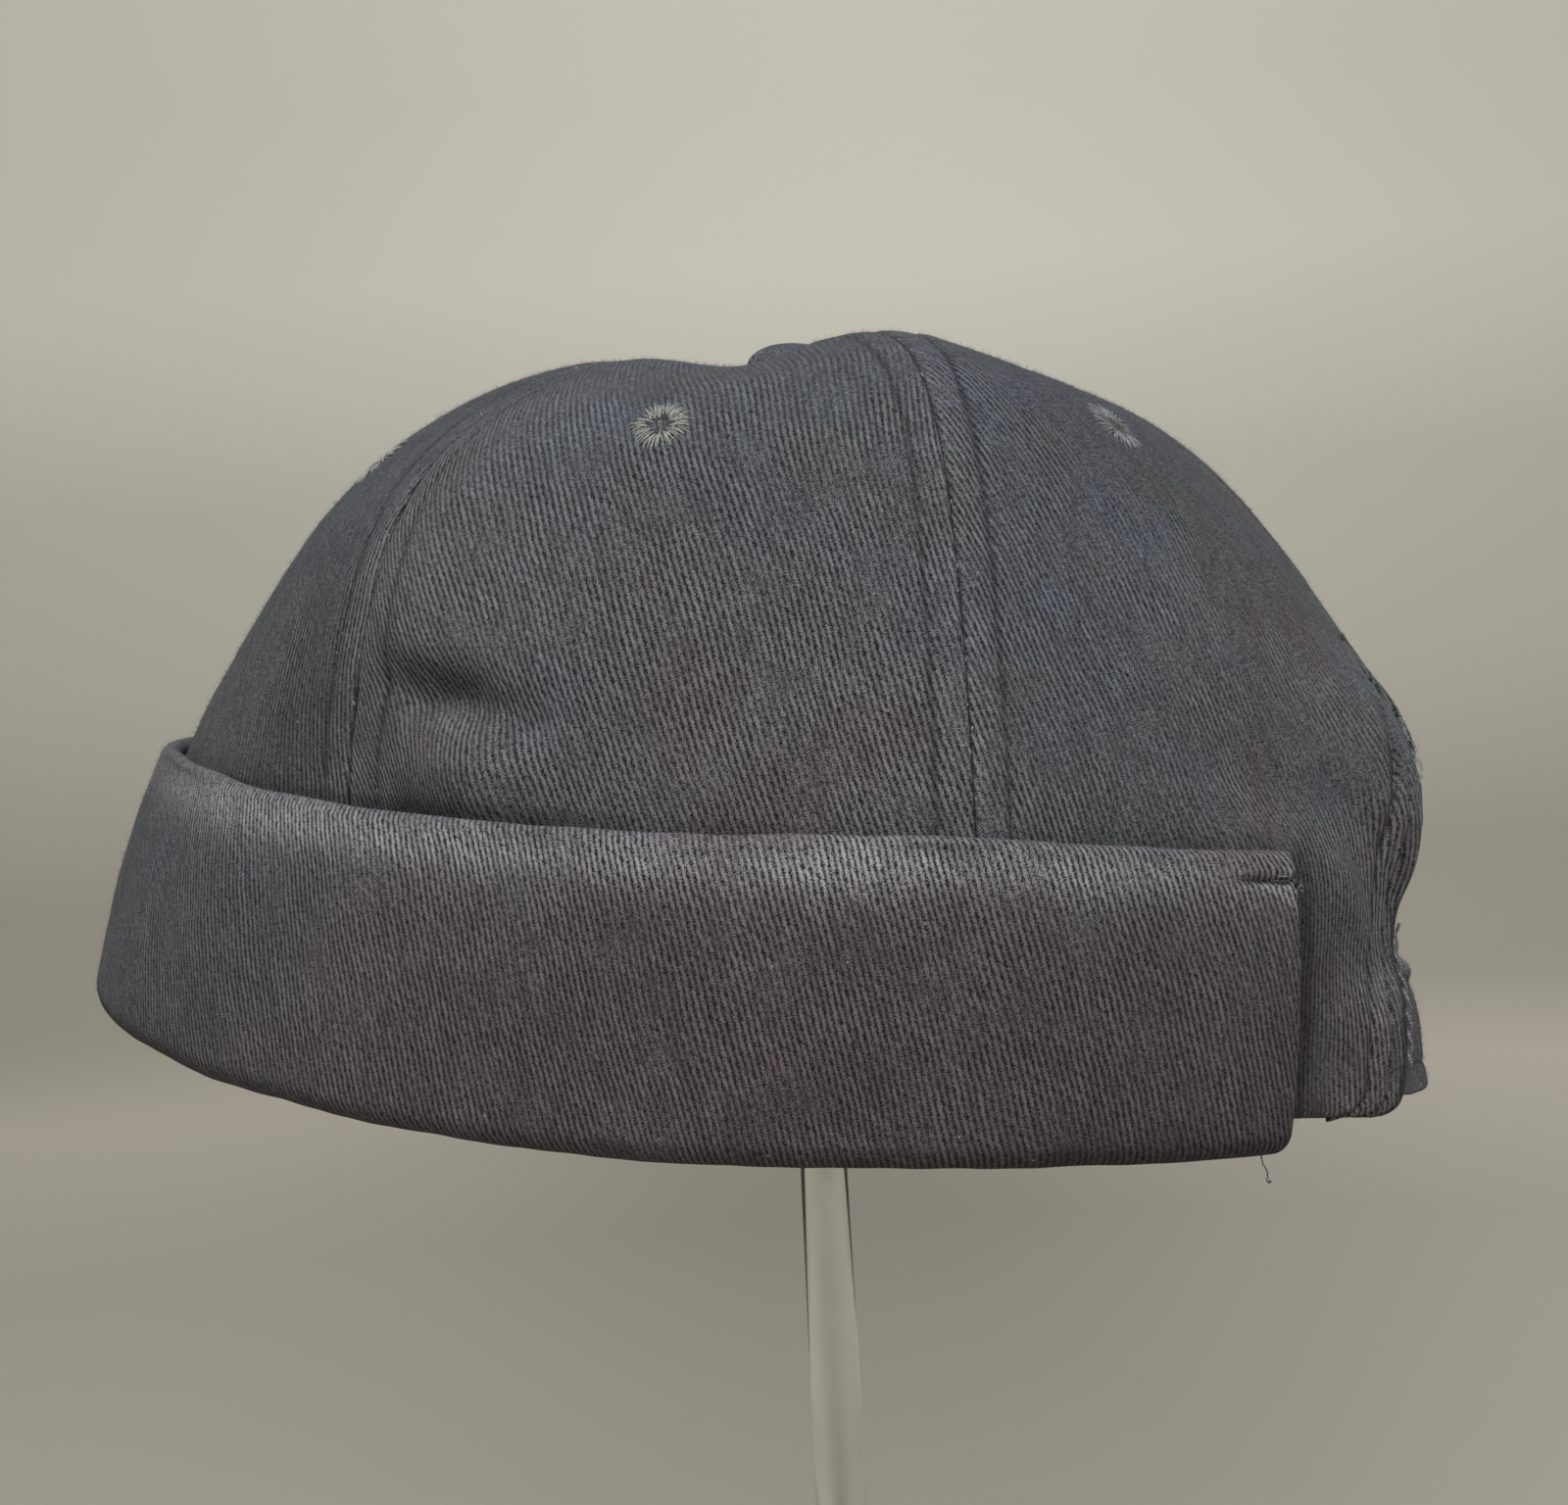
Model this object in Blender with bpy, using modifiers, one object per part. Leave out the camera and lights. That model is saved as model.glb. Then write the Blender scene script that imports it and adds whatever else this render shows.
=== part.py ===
"""A six-panel sailor cap with a turned-up cuff, resting on a plain clear display stand.

Metres, +Z up. The front of the cap faces -Y and the wearer's left side is at +X. The origin is on
the table, under the middle of the whole thing. Tables and sizes are in millimetres and degrees.
Angles run round the cap from its front (0) over the wearer's left (90) to its back (180), and
"up" runs over the crown from its hem (0) to its top (1).
"""

from collections import namedtuple
from math import cos, exp, pi, radians, sin, sqrt

import bmesh
import bpy
from mathutils import Matrix, Vector

MM = 0.001

# Where the cap sits on its stand
HEM_HEIGHT = 200.0          # the crown's hem plane above the table, at the middle of the cap
CAP_SETBACK = -0.73         # the middle of the hem plane, along Y
NOSE_UP = 6.85              # the cap leans back by this many degrees

# Cloth
CLOTH = 1.2                 # twill with its seam allowances
CLEARANCE = 0.3             # between pieces that are sewn or stacked together
SEAM_GAP = 0.4
SEAM_ROLL = 2.4             # a panel's edge turns in over this width ...
SEAM_DROP = 0.9             # ... by this depth
PANEL_PUFF = 1.2            # a panel stands out this far between its seams
PROBE_ANGLE = 0.5           # steps for reading the crown's outward direction
PROBE_UP = 0.006

Section = namedtuple(
    "Section", "angle hem_r hem_z belly_r belly_z shoulder_r shoulder_z ridge_r ridge_z")
CROWN_SECTIONS = [
    Section(0, 95.0, 2.0, 88.2, 32.0, 65.2, 73.0, 35.0, 94.0),
    Section(30, 92.4, 1.6, 86.8, 32.0, 65.6, 74.0, 35.6, 94.6),
    Section(60, 86.6, -0.6, 83.8, 33.0, 67.8, 76.0, 37.2, 95.4),
    Section(90, 82.2, -1.4, 81.4, 34.0, 68.0, 82.0, 38.0, 94.8),
    Section(120, 86.6, 0.4, 85.4, 34.0, 66.0, 85.0, 41.0, 101.6),
    Section(150, 94.0, 1.6, 92.4, 36.0, 66.8, 83.0, 39.0, 98.6),
    Section(180, 99.8, -2.2, 97.6, 38.0, 67.6, 80.8, 37.5, 96.4),
]
CROWN_TOP = 95.5                                # the crown's height at its middle
CROWN_KNOTS = (0.0, 0.21, 0.55, 0.77, 1.0)      # hem, belly, shoulder, ridge and top, on the way up
CROWN_LENGTH = 161.0                            # from the hem over the crown to its middle
BUTTON_HOLE = 5.0                               # the panels stop this far from the middle

# Dents and swells of the soft crown: depth is outwards, the spans are half widths
Fold = namedtuple("Fold", "name angle up angle_span up_span depth")
CROWN_FOLDS = [
    Fold("dent_behind_front_seam", 69.0, 0.365, 8.5, 0.032, -3.2),
    Fold("puff_under_the_dent", 71.0, 0.295, 10.0, 0.04, 1.6),
    Fold("flare_beside_opening", 170.0, 0.29, 10.0, 0.08, 2.8),
    Fold("pull_of_the_strap", 171.0, 0.135, 12.0, 0.05, -5.2),
]

# Seams: their angle at the hem and at the button, and how far they bow between
Seam = namedtuple("Seam", "name hem_angle top_angle bow")
FRONT_SEAM = Seam("front", 0.0, 0.0, 0.0)
TEMPLE_SEAM = Seam("temple", 69.5, 46.5, -2.5)
REAR_SEAM = Seam("rear", 121.8, 119.5, 0.5)
BACK_SEAM = Seam("back", 180.0, 180.0, 0.0)

PANEL_COLUMNS = 12
PANEL_ROWS = 17
ARCH_ROWS = 8

# The arched opening at the back
ARCH_HALF_ANGLE = 12.0      # at the hem
ARCH_UP = 0.365             # its top, on the way up
ARCH_SQUARENESS = 2.3
BINDING_WIDTH = 5.5
BINDING_THICKNESS = 2.0
BINDING_STATIONS = 34
BINDING_LIFTS = (0.0, 0.2, 0.2, 0.0)    # its lines, from the opening outwards, above the crown

# Cuff: the outer faces of its bottom fold and its top fold
Loop = namedtuple("Loop", "side front back squareness")
CUFF_BOTTOM = Loop(86.0, 99.2, 102.5, 2.1)
CUFF_TOP = Loop(86.0, 90.9, 102.0, 2.05)
CuffRow = namedtuple("CuffRow", "angle bottom_z top_z")
CUFF_ROWS = [
    CuffRow(0, -1.6, 38.6),
    CuffRow(30, -2.3, 38.3),
    CuffRow(60, -4.4, 37.0),
    CuffRow(90, -5.1, 37.4),
    CuffRow(120, -3.2, 39.2),
    CuffRow(150, -2.3, 38.6),
    CuffRow(180, -2.3, 38.6),
]
CUFF_END_ANGLE = 148.0      # of its top; its foot runs further round by CUFF_END_SLANT
CUFF_END_SLANT = 1.7
CUFF_STATIONS = 58
CUFF_THICKNESS = 2.6        # two layers of twill
CUFF_LIP = 7.0              # the bottom fold reaches this far in, under the crown's hem
CUFF_END_LIP = 2.8          # and less far at its rounded ends, which rise beside the hem
CUFF_BEND = 2.2             # radius of the fold's middle line
CUFF_BULGE = 1.1            # the cuff's wall stands out in the middle of its height
CUFF_CORNER = 1.4           # radius of the rounded lower corner at each back end
FOLD_ROUNDING = 0.7         # share of half the thickness taken off a fold's corners

# Strap and tab across the foot of the opening: how far they stand off the crown's surface, and
# how far they climb there
BandRow = namedtuple("BandRow", "angle stand_off climb")
BAND_THICKNESS = 1.5
STRAP_LOW_UP = 0.002        # its lower and upper edge, on the way up
STRAP_HIGH_UP = 0.097
STRAP_ROWS = [
    BandRow(152.0, -2.4, 0.0),
    BandRow(160.0, -3.0, 0.0),
    BandRow(167.0, -3.4, 0.0),
    BandRow(174.0, -3.7, -0.2),
    BandRow(180.0, -3.7, -0.6),
    BandRow(186.0, -1.2, -1.2),
    BandRow(191.0, 2.6, -1.6),
    BandRow(198.0, 2.4, -1.6),
    BandRow(208.0, 2.1, -1.4),
]
TAB_LOW_UP = 0.004
TAB_HIGH_UP = 0.117
TAB_ROWS = [
    BandRow(181.0, -6.4, 0.0),
    BandRow(186.0, -4.4, 0.0),
    BandRow(191.0, -3.0, 0.0),
    BandRow(200.0, -2.8, 0.0),
    BandRow(208.0, -2.3, 0.0),
]
BAND_STATIONS = 20

# Top button and eyelets
BUTTON_RADIUS = 7.4
BUTTON_HEIGHT = 5.2
BUTTON_RIM = 1.3            # its straight edge, which turns in below by BUTTON_TURN
BUTTON_TURN = 1.2
BUTTON_GAP = 1.0            # above the crown's middle, which the ridges beside it overtop
BUTTON_STEPS = 5
EYELET_RADIUS = 4.6
EYELET_HOLE = 1.3
EYELET_HEIGHT = 0.9
EYELET_SIDES = 14
Eyelet = namedtuple("Eyelet", "name angle up")
EYELETS = [
    Eyelet("front", 32.0, 0.59),
    Eyelet("side", 89.0, 0.59),
    Eyelet("back", 150.0, 0.61),
]

# Display stand
BASE_RADIUS = 70.0
BASE_THICKNESS = 6.0
BASE_EDGE = 1.5
BASE_SIDES = 48
STEM_AXIS = 9.3             # behind the middle of the hem plane
STEM_FOOT_RADIUS = 4.9
STEM_HEAD_RADIUS = 2.7
STEM_SIDES = 20
PAD_RADIUS = 15.0
PAD_THICKNESS = 4.0
PAD_EDGE = 1.4
PAD_SIDES = 24
PAD_GAP = 0.8               # under the rolled edges of the panels
PAD_TOP = CROWN_TOP - CLOTH - SEAM_DROP - PAD_GAP

TWILL = (0.075, 0.077, 0.083)
TWILL_WORN = (0.105, 0.102, 0.102)
THREAD = (0.26, 0.26, 0.24)
ACRYLIC = (0.80, 0.82, 0.81)


# ---------------------------------------------------------------- the crown's surface

def ease(rows, field, angle):
    """Read one column of a table at an angle, smoothly, and alike on both sides of the cap."""
    angle = abs((angle + 180.0) % 360.0 - 180.0)
    knots = [row.angle for row in rows]
    values = [getattr(row, field) for row in rows]
    index = max(i for i in range(len(rows) - 1) if knots[i] <= angle)
    span = knots[index + 1] - knots[index]
    part = (angle - knots[index]) / span

    def slope(i):
        if i in (0, len(rows) - 1):
            return 0.0
        return (values[i + 1] - values[i - 1]) / (knots[i + 1] - knots[i - 1])

    cube, square = part ** 3, part ** 2
    return ((2 * cube - 3 * square + 1) * values[index]
            + (cube - 2 * square + part) * span * slope(index)
            + (3 * square - 2 * cube) * values[index + 1]
            + (cube - square) * span * slope(index + 1))


def through(points, knots, place):
    """A smooth curve through points, the first and last of which only steer it."""
    index = max(i for i in range(len(knots) - 1) if knots[i] <= place or i == 0)
    part = (place - knots[index]) / (knots[index + 1] - knots[index])
    before, start, end, after = points[index:index + 4]
    return 0.5 * (2 * start + (end - before) * part
                  + (2 * before - 5 * start + 4 * end - after) * part ** 2
                  + (3 * start - before - 3 * end + after) * part ** 3)


def smooth_crown(angle, up):
    """The crown without its puffs and folds."""
    names = ("hem", "belly", "shoulder", "ridge")
    radii = [ease(CROWN_SECTIONS, name + "_r", angle) for name in names]
    heights = [ease(CROWN_SECTIONS, name + "_z", angle) for name in names]
    far_radius = ease(CROWN_SECTIONS, "ridge_r", angle + 180.0)
    far_height = ease(CROWN_SECTIONS, "ridge_z", angle + 180.0)
    radii = [2 * radii[0] - radii[1]] + radii + [0.0, -far_radius]
    heights = [2 * heights[0] - heights[1]] + heights + [CROWN_TOP, far_height]
    radius = through(radii, CROWN_KNOTS, up)
    return Vector((radius * sin(radians(angle)), -radius * cos(radians(angle)),
                   through(heights, CROWN_KNOTS, up)))


def outward(angle, up):
    """The crown's outward direction at a place on it."""
    across = smooth_crown(angle + PROBE_ANGLE, up) - smooth_crown(angle - PROBE_ANGLE, up)
    along = smooth_crown(angle, up + PROBE_UP) - smooth_crown(angle, up - PROBE_UP)
    return across.cross(along).normalized()


def fold_height(angle, up):
    """How far the dents and swells move the crown outwards."""
    side_angle = abs((angle + 180.0) % 360.0 - 180.0)
    return sum(fold.depth * exp(-((side_angle - fold.angle) / fold.angle_span) ** 2
                                - ((up - fold.up) / fold.up_span) ** 2) for fold in CROWN_FOLDS)


def crown(angle, up, lift=0.0):
    """A point on the crown's outer face, or lift above it."""
    return smooth_crown(angle, up) + outward(angle, up) * (fold_height(angle, up) + lift)


def seam_angle(seam, up):
    """Where a seam runs at this height on the crown."""
    return seam.hem_angle + (seam.top_angle - seam.hem_angle) * up + seam.bow * sin(pi * up)


def radius_at(angle, up):
    """The crown's distance from its middle line."""
    return smooth_crown(angle, up).xy.length


# ---------------------------------------------------------------- making objects

def material(name, colour, roughness, transmission=0.0):
    """A plain finish with one colour and roughness."""
    finish = bpy.data.materials.new(name)
    finish.use_nodes = True
    shader = finish.node_tree.nodes["Principled BSDF"]
    shader.inputs["Base Color"].default_value = (*colour, 1.0)
    shader.inputs["Roughness"].default_value = roughness
    shader.inputs["Metallic"].default_value = 0.0
    shader.inputs["Transmission Weight"].default_value = transmission
    return finish


def add_object(name, mesh_maker, finish, collection, parent=None):
    """Turn a bmesh in millimetres into a named object in metres."""
    bmesh.ops.recalc_face_normals(mesh_maker, faces=mesh_maker.faces)
    bmesh.ops.scale(mesh_maker, vec=Vector((MM, MM, MM)), verts=mesh_maker.verts)
    mesh = bpy.data.meshes.new(name)
    mesh_maker.to_mesh(mesh)
    mesh_maker.free()
    mesh.materials.append(finish)
    mesh.shade_smooth()
    mesh.set_sharp_from_angle(angle=radians(40.0))
    piece = bpy.data.objects.new(name, mesh)
    collection.objects.link(piece)
    piece.parent = parent
    return piece


def sheet(columns, rows, place):
    """A grid of columns by rows whose points a function puts in place."""
    cloth = bmesh.new()
    bmesh.ops.create_grid(cloth, x_segments=columns, y_segments=rows, size=0.5)
    for vert in cloth.verts:
        column = round((vert.co.x + 0.5) * columns)
        row = round((vert.co.y + 0.5) * rows)
        vert.co = place(column, row)
    return cloth


def thicken(piece, thickness):
    """Give an open sheet its wall, inwards from its outer face."""
    wall = piece.modifiers.new("wall", "SOLIDIFY")
    wall.thickness = thickness * MM
    wall.offset = -1.0
    wall.use_even_offset = False
    return piece


def turned(profile, sides):
    """A closed body turned from a profile of (radius, height) points, from bottom to top."""
    body = bmesh.new()
    verts = [body.verts.new((radius, 0.0, height)) for radius, height in profile]
    edges = [body.edges.new(pair) for pair in zip(verts, verts[1:])]
    bmesh.ops.spin(body, geom=verts + edges, axis=(0, 0, 1), cent=(0, 0, 0), angle=2 * pi,
                   steps=sides, use_merge=True)
    bmesh.ops.remove_doubles(body, verts=body.verts, dist=0.01)
    return body


# ---------------------------------------------------------------- crown panels

def panel_shares(width):
    """Shares of a panel's width where its columns stand: close together at the rolled edges."""
    roll = SEAM_ROLL / width
    inner = [roll + (1.0 - 2.0 * roll) * i / (PANEL_COLUMNS - 2) for i in range(PANEL_COLUMNS - 1)]
    return [0.0] + inner + [1.0]


def roll_in(distance):
    """How far a panel's edge turns in at this distance from the seam."""
    if distance >= SEAM_ROLL:
        return 0.0
    return -SEAM_DROP * (1.0 - distance / SEAM_ROLL) ** 2


def arch_edge(turn, extra=0.0):
    """The opening's edge, widened by extra: half angle from the back and the place going up."""
    half_angle = ARCH_HALF_ANGLE + extra / (radius_at(180.0, ARCH_UP / 2) * pi / 180.0)
    top = ARCH_UP + extra / CROWN_LENGTH
    return (half_angle * sin(turn) ** (2.0 / ARCH_SQUARENESS),
            top * cos(turn) ** (2.0 / ARCH_SQUARENESS))


def panel_rows(has_arch):
    """Each row's place going up, with the back panels' half angle cut away by the opening."""
    top = 1.0 - BUTTON_HOLE / CROWN_LENGTH
    if not has_arch:
        return [(top * i / PANEL_ROWS, 0.0) for i in range(PANEL_ROWS + 1)]
    cut = BINDING_WIDTH + SEAM_GAP
    low = []
    for i in range(ARCH_ROWS):
        half_angle, up = arch_edge(pi / 2 * (1.0 - i / ARCH_ROWS), cut)
        low.append((up if i else 0.0, half_angle))
    apex = arch_edge(0.0, cut)[1]
    count = PANEL_ROWS - ARCH_ROWS + 2
    high = [(apex + (top - apex) * i / count, 0.0) for i in range(count + 1)]
    return low + high


def make_panel(name, side, start, end, finish, collection, cap):
    """One crown panel between two seams, on the wearer's left (side 1) or right (side -1)."""
    rows = panel_rows(end is BACK_SEAM)

    def place(column, row):
        up, cut_angle = rows[row]
        gap = SEAM_GAP / 2
        radius = max(radius_at(seam_angle(start, up), up), 1.0)
        width = (seam_angle(end, up) - seam_angle(start, up)) * radians(1.0) * radius
        first = seam_angle(start, up) + (gap / radius) / radians(1.0)
        last = seam_angle(end, up) - max(cut_angle, (gap / radius) / radians(1.0))
        share = panel_shares(max(width, 4.0 * SEAM_ROLL))[column]
        angle = first + (last - first) * share
        edge = min(share, 1.0 - share) * width
        lift = roll_in(edge) + PANEL_PUFF * sin(pi * share) * sin(pi * up)
        return crown(angle * side, up, lift)

    cloth = sheet(PANEL_COLUMNS, len(rows) - 1, place)
    piece = add_object(name, cloth, finish, collection, cap)
    face_outwards(piece)
    return thicken(piece, CLOTH)


def face_outwards(piece):
    """Turn an open sheet so that its faces look away from the middle of the cap."""
    mesh = piece.data
    middle = Vector((0.0, 0.0, CROWN_TOP * 0.4 * MM))
    leaning = sum((face.center - middle).dot(face.normal) * face.area for face in mesh.polygons)
    if leaning < 0.0:
        mesh.flip_normals()


def make_binding(finish, collection, cap):
    """The folded edge round the opening, from the hem over the arch to the hem again."""
    def place(column, row):
        turn = -pi / 2 + pi * column / BINDING_STATIONS
        half_angle, up = arch_edge(abs(turn), BINDING_WIDTH * row / lines)
        if column in (0, BINDING_STATIONS):
            up = 0.0
        angle = 180.0 - (half_angle if turn > 0.0 else -half_angle)
        return crown(angle, up, BINDING_LIFTS[row])

    lines = len(BINDING_LIFTS) - 1
    cloth = sheet(BINDING_STATIONS, lines, place)
    piece = add_object("arch_binding", cloth, finish, collection, cap)
    face_outwards(piece)
    return thicken(piece, BINDING_THICKNESS)


# ---------------------------------------------------------------- cuff

def loop_radius(loop, angle):
    """The radius of an egg-shaped loop, longer or shorter at the back than at the front."""
    turn = radians(angle)
    length = loop.front if cos(turn) > 0.0 else loop.back
    power = loop.squareness
    return (abs(sin(turn) / loop.side) ** power + abs(cos(turn) / length) ** power) ** (-1.0 / power)


def cuff_path(angle):
    """The middle line of the cuff's section, from its lip round the bottom fold to its top."""
    half = CUFF_THICKNESS / 2
    bottom = ease(CUFF_ROWS, "bottom_z", angle)
    top = ease(CUFF_ROWS, "top_z", angle) - half
    low_radius = loop_radius(CUFF_BOTTOM, angle) - half
    top_radius = loop_radius(CUFF_TOP, angle) - half
    to_end = radians(CUFF_END_ANGLE - abs(angle)) * low_radius
    if to_end < CUFF_CORNER:
        inside = CUFF_CORNER - to_end
        bottom += CUFF_CORNER - sqrt(max(CUFF_CORNER ** 2 - inside ** 2, 0.0))
    bend = CUFF_BEND
    lip = min(CUFF_LIP, CUFF_END_LIP + max(to_end - CUFF_CORNER, 0.0))
    path = [(low_radius - lip, bottom + half)]
    for turn in (0.0, 45.0, 90.0):
        path.append((low_radius - bend + bend * sin(radians(turn)),
                     bottom + half + bend - bend * cos(radians(turn))))
    start = bottom + half + bend
    for share in (0.3, 0.65, 1.0):
        radius = low_radius + (top_radius - low_radius) * share + CUFF_BULGE * sin(pi * share)
        path.append((radius, start + (top - start) * share))
    return path


def cuff_stations():
    """Angles of the cuff's sections: evenly spread, with a few more round its back corners."""
    corner = CUFF_CORNER / loop_radius(CUFF_BOTTOM, CUFF_END_ANGLE) / radians(1.0)
    main_end = CUFF_END_ANGLE - corner
    even = [main_end * (2.0 * i / CUFF_STATIONS - 1.0) for i in range(CUFF_STATIONS + 1)]
    extra = [main_end + corner * sin(radians(turn)) for turn in (30.0, 60.0, 90.0)]
    return [-angle for angle in reversed(extra)] + even + extra


def ribbon(path, thickness):
    """The closed outline of a strip of this thickness round a middle line, with round ends."""
    half = thickness / 2
    points = [Vector(point) for point in path]
    ways = [(b - a).normalized() for a, b in zip(points, points[1:])]
    joint_ways = [ways[0]] + [(a + b).normalized() for a, b in zip(ways, ways[1:])] + [ways[-1]]
    sides = [Vector((way.y, -way.x)) for way in joint_ways]
    outer = [point + side * half for point, side in zip(points, sides)]
    inner = [point - side * half for point, side in zip(points, sides)]
    outer[0] += ways[0] * half * FOLD_ROUNDING
    inner[0] += ways[0] * half * FOLD_ROUNDING
    outer[-1] -= ways[-1] * half * FOLD_ROUNDING
    inner[-1] -= ways[-1] * half * FOLD_ROUNDING
    return outer + [points[-1]] + inner[::-1] + [points[0]]


def make_cuff(finish, collection, cap):
    """The turned-up band, a strip of constant section lofted round the front and both sides."""
    band = bmesh.new()
    rings = []
    for angle in cuff_stations():
        outline = ribbon(cuff_path(angle), CUFF_THICKNESS)
        top = ease(CUFF_ROWS, "top_z", angle)
        height = top - ease(CUFF_ROWS, "bottom_z", angle)
        slant = CUFF_END_SLANT * angle / CUFF_END_ANGLE
        ring = []
        for point in outline:
            turn = radians(angle + slant * (top - point.y) / height)
            ring.append(band.verts.new((point.x * sin(turn), -point.x * cos(turn), point.y)))
        rings.append(ring)
    count = len(rings[0])
    for ring, following in zip(rings, rings[1:]):
        for i in range(count):
            j = (i + 1) % count
            band.faces.new((ring[i], ring[j], following[j], following[i]))
    band.faces.new(rings[0])
    band.faces.new(rings[-1][::-1])
    return add_object("cuff", band, finish, collection, cap)


# ---------------------------------------------------------------- strap, button, eyelets

def make_band(name, rows, low_up, high_up, finish, collection, cap):
    """A flat strip that lies along the crown and bows out where it crosses the opening."""
    knots = [row.angle for row in rows]

    def along(field, angle):
        values = [getattr(row, field) for row in rows]
        return through([values[0]] + values + [values[-1]], knots, angle)

    def place(column, row):
        angle = knots[0] + (knots[-1] - knots[0]) * column / BAND_STATIONS
        up = low_up + (high_up - low_up) * row / 2.0
        flat = smooth_crown(angle, up)
        away = Vector((flat.x, flat.y, 0.0)).normalized()
        stand_off = along("stand_off", angle) + fold_height(angle, up)
        return flat + away * stand_off + Vector((0.0, 0.0, along("climb", angle)))

    cloth = sheet(BAND_STATIONS, 2, place)
    piece = add_object(name, cloth, finish, collection, cap)
    face_outwards(piece)
    return thicken(piece, BAND_THICKNESS)


def make_button(finish, collection, cap):
    """The domed, cloth-covered button where the panels meet."""
    profile = [(0.0, 0.0), (BUTTON_RADIUS - BUTTON_TURN, 0.0), (BUTTON_RADIUS, BUTTON_RIM)]
    for i in range(1, BUTTON_STEPS + 1):
        turn = pi / 2 * i / BUTTON_STEPS
        profile.append((BUTTON_RADIUS * cos(turn),
                        BUTTON_RIM + (BUTTON_HEIGHT - BUTTON_RIM) * sin(turn)))
    button = add_object("top_button", turned(profile, 20), finish, collection, cap)
    button.location = Vector((0.0, 0.0, CROWN_TOP + BUTTON_GAP)) * MM
    return button


def make_eyelet(eyelet, side_name, side, finish, collection, cap):
    """A raised ring of thread lying on its panel."""
    middle = (EYELET_RADIUS + EYELET_HOLE) / 2
    profile = [(EYELET_HOLE, EYELET_HEIGHT * 0.3), (middle, 0.0), (EYELET_RADIUS, 0.1),
               (middle, EYELET_HEIGHT), (EYELET_HOLE, EYELET_HEIGHT * 0.3)]
    ring = turned(profile, EYELET_SIDES)
    name = "eyelet_%s_%s" % (eyelet.name, side_name)
    piece = add_object(name, ring, finish, collection, cap)
    angle = eyelet.angle * side
    direction = outward(angle, eyelet.up)
    puff = PANEL_PUFF + CLEARANCE
    piece.location = crown(angle, eyelet.up, puff) * MM
    piece.rotation_mode = "QUATERNION"
    piece.rotation_quaternion = direction.to_track_quat("Z", "Y")
    return piece


# ---------------------------------------------------------------- display stand

def make_stand(finish, collection, cap):
    """A foot disc, a tapered stem and a small pad that the crown rests on."""
    axis = CAP_SETBACK + STEM_AXIS
    foot_profile = [(0.0, 0.0), (BASE_RADIUS - BASE_EDGE, 0.0), (BASE_RADIUS, BASE_EDGE),
                    (BASE_RADIUS, BASE_THICKNESS - BASE_EDGE),
                    (BASE_RADIUS - BASE_EDGE, BASE_THICKNESS), (0.0, BASE_THICKNESS)]
    foot = add_object("stand_base", turned(foot_profile, BASE_SIDES), finish, collection)
    foot.location = Vector((0.0, axis, 0.0)) * MM

    pad_profile = [(0.0, -PAD_THICKNESS), (PAD_RADIUS - PAD_EDGE, -PAD_THICKNESS),
                   (PAD_RADIUS, PAD_EDGE - PAD_THICKNESS), (PAD_RADIUS, -PAD_EDGE),
                   (PAD_RADIUS - PAD_EDGE, 0.0), (0.0, 0.0)]
    pad = add_object("stand_pad", turned(pad_profile, PAD_SIDES), finish, collection, cap)
    lean = radians(NOSE_UP)
    pad_y = (STEM_AXIS - PAD_TOP * sin(lean)) / cos(lean)
    pad.location = Vector((0.0, pad_y, PAD_TOP)) * MM

    underside = PAD_TOP - PAD_THICKNESS
    head = HEM_HEIGHT + underside * cos(lean) - pad_y * sin(lean) - 2 * CLEARANCE
    start = BASE_THICKNESS + CLEARANCE
    stem_mesh = bmesh.new()
    bmesh.ops.create_cone(stem_mesh, cap_ends=True, segments=STEM_SIDES, depth=head - start,
                          radius1=STEM_FOOT_RADIUS, radius2=STEM_HEAD_RADIUS,
                          matrix=Matrix.Translation((0.0, 0.0, (head + start) / 2)))
    stem = add_object("stand_stem", stem_mesh, finish, collection)
    stem.location = Vector((0.0, axis, 0.0)) * MM


# ---------------------------------------------------------------- the whole thing

def main():
    for piece in list(bpy.data.objects):
        bpy.data.objects.remove(piece)
    collection = bpy.data.collections.new("sailor_cap_on_stand")
    bpy.context.scene.collection.children.link(collection)

    twill = material("washed_twill", TWILL, 0.9)
    worn = material("washed_twill_worn", TWILL_WORN, 0.92)
    thread = material("eyelet_thread", THREAD, 0.7)
    acrylic = material("clear_acrylic", ACRYLIC, 0.08, 0.9)

    cap = bpy.data.objects.new("cap_lean", None)
    collection.objects.link(cap)
    cap.location = Vector((0.0, CAP_SETBACK, HEM_HEIGHT)) * MM
    cap.rotation_euler = (-radians(NOSE_UP), 0.0, 0.0)

    spans = [("front", FRONT_SEAM, TEMPLE_SEAM), ("side", TEMPLE_SEAM, REAR_SEAM),
             ("back", REAR_SEAM, BACK_SEAM)]
    for side_name, side in (("left", 1.0), ("right", -1.0)):
        for place, start, end in spans:
            make_panel("panel_%s_%s" % (place, side_name), side, start, end, twill, collection, cap)
        for eyelet in EYELETS:
            make_eyelet(eyelet, side_name, side, thread, collection, cap)
    make_button(twill, collection, cap)
    make_cuff(worn, collection, cap)
    make_binding(twill, collection, cap)
    make_band("back_strap", STRAP_ROWS, STRAP_LOW_UP, STRAP_HIGH_UP, twill, collection, cap)
    make_band("strap_tab", TAB_ROWS, TAB_LOW_UP, TAB_HIGH_UP, twill, collection, cap)
    make_stand(acrylic, collection, cap)


main()
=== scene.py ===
"""Looks of a washed twill sailor cap on a clear display stand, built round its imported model.

The cap's own tables and sizes are in millimetres and degrees, and Cap.to_row turns them into the
row frame's metres. Angles run round the cap from its front (0) over the wearer's left (90) to its
back (180); "up" runs over the crown from its hem (0) to its top (1).
"""

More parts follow.
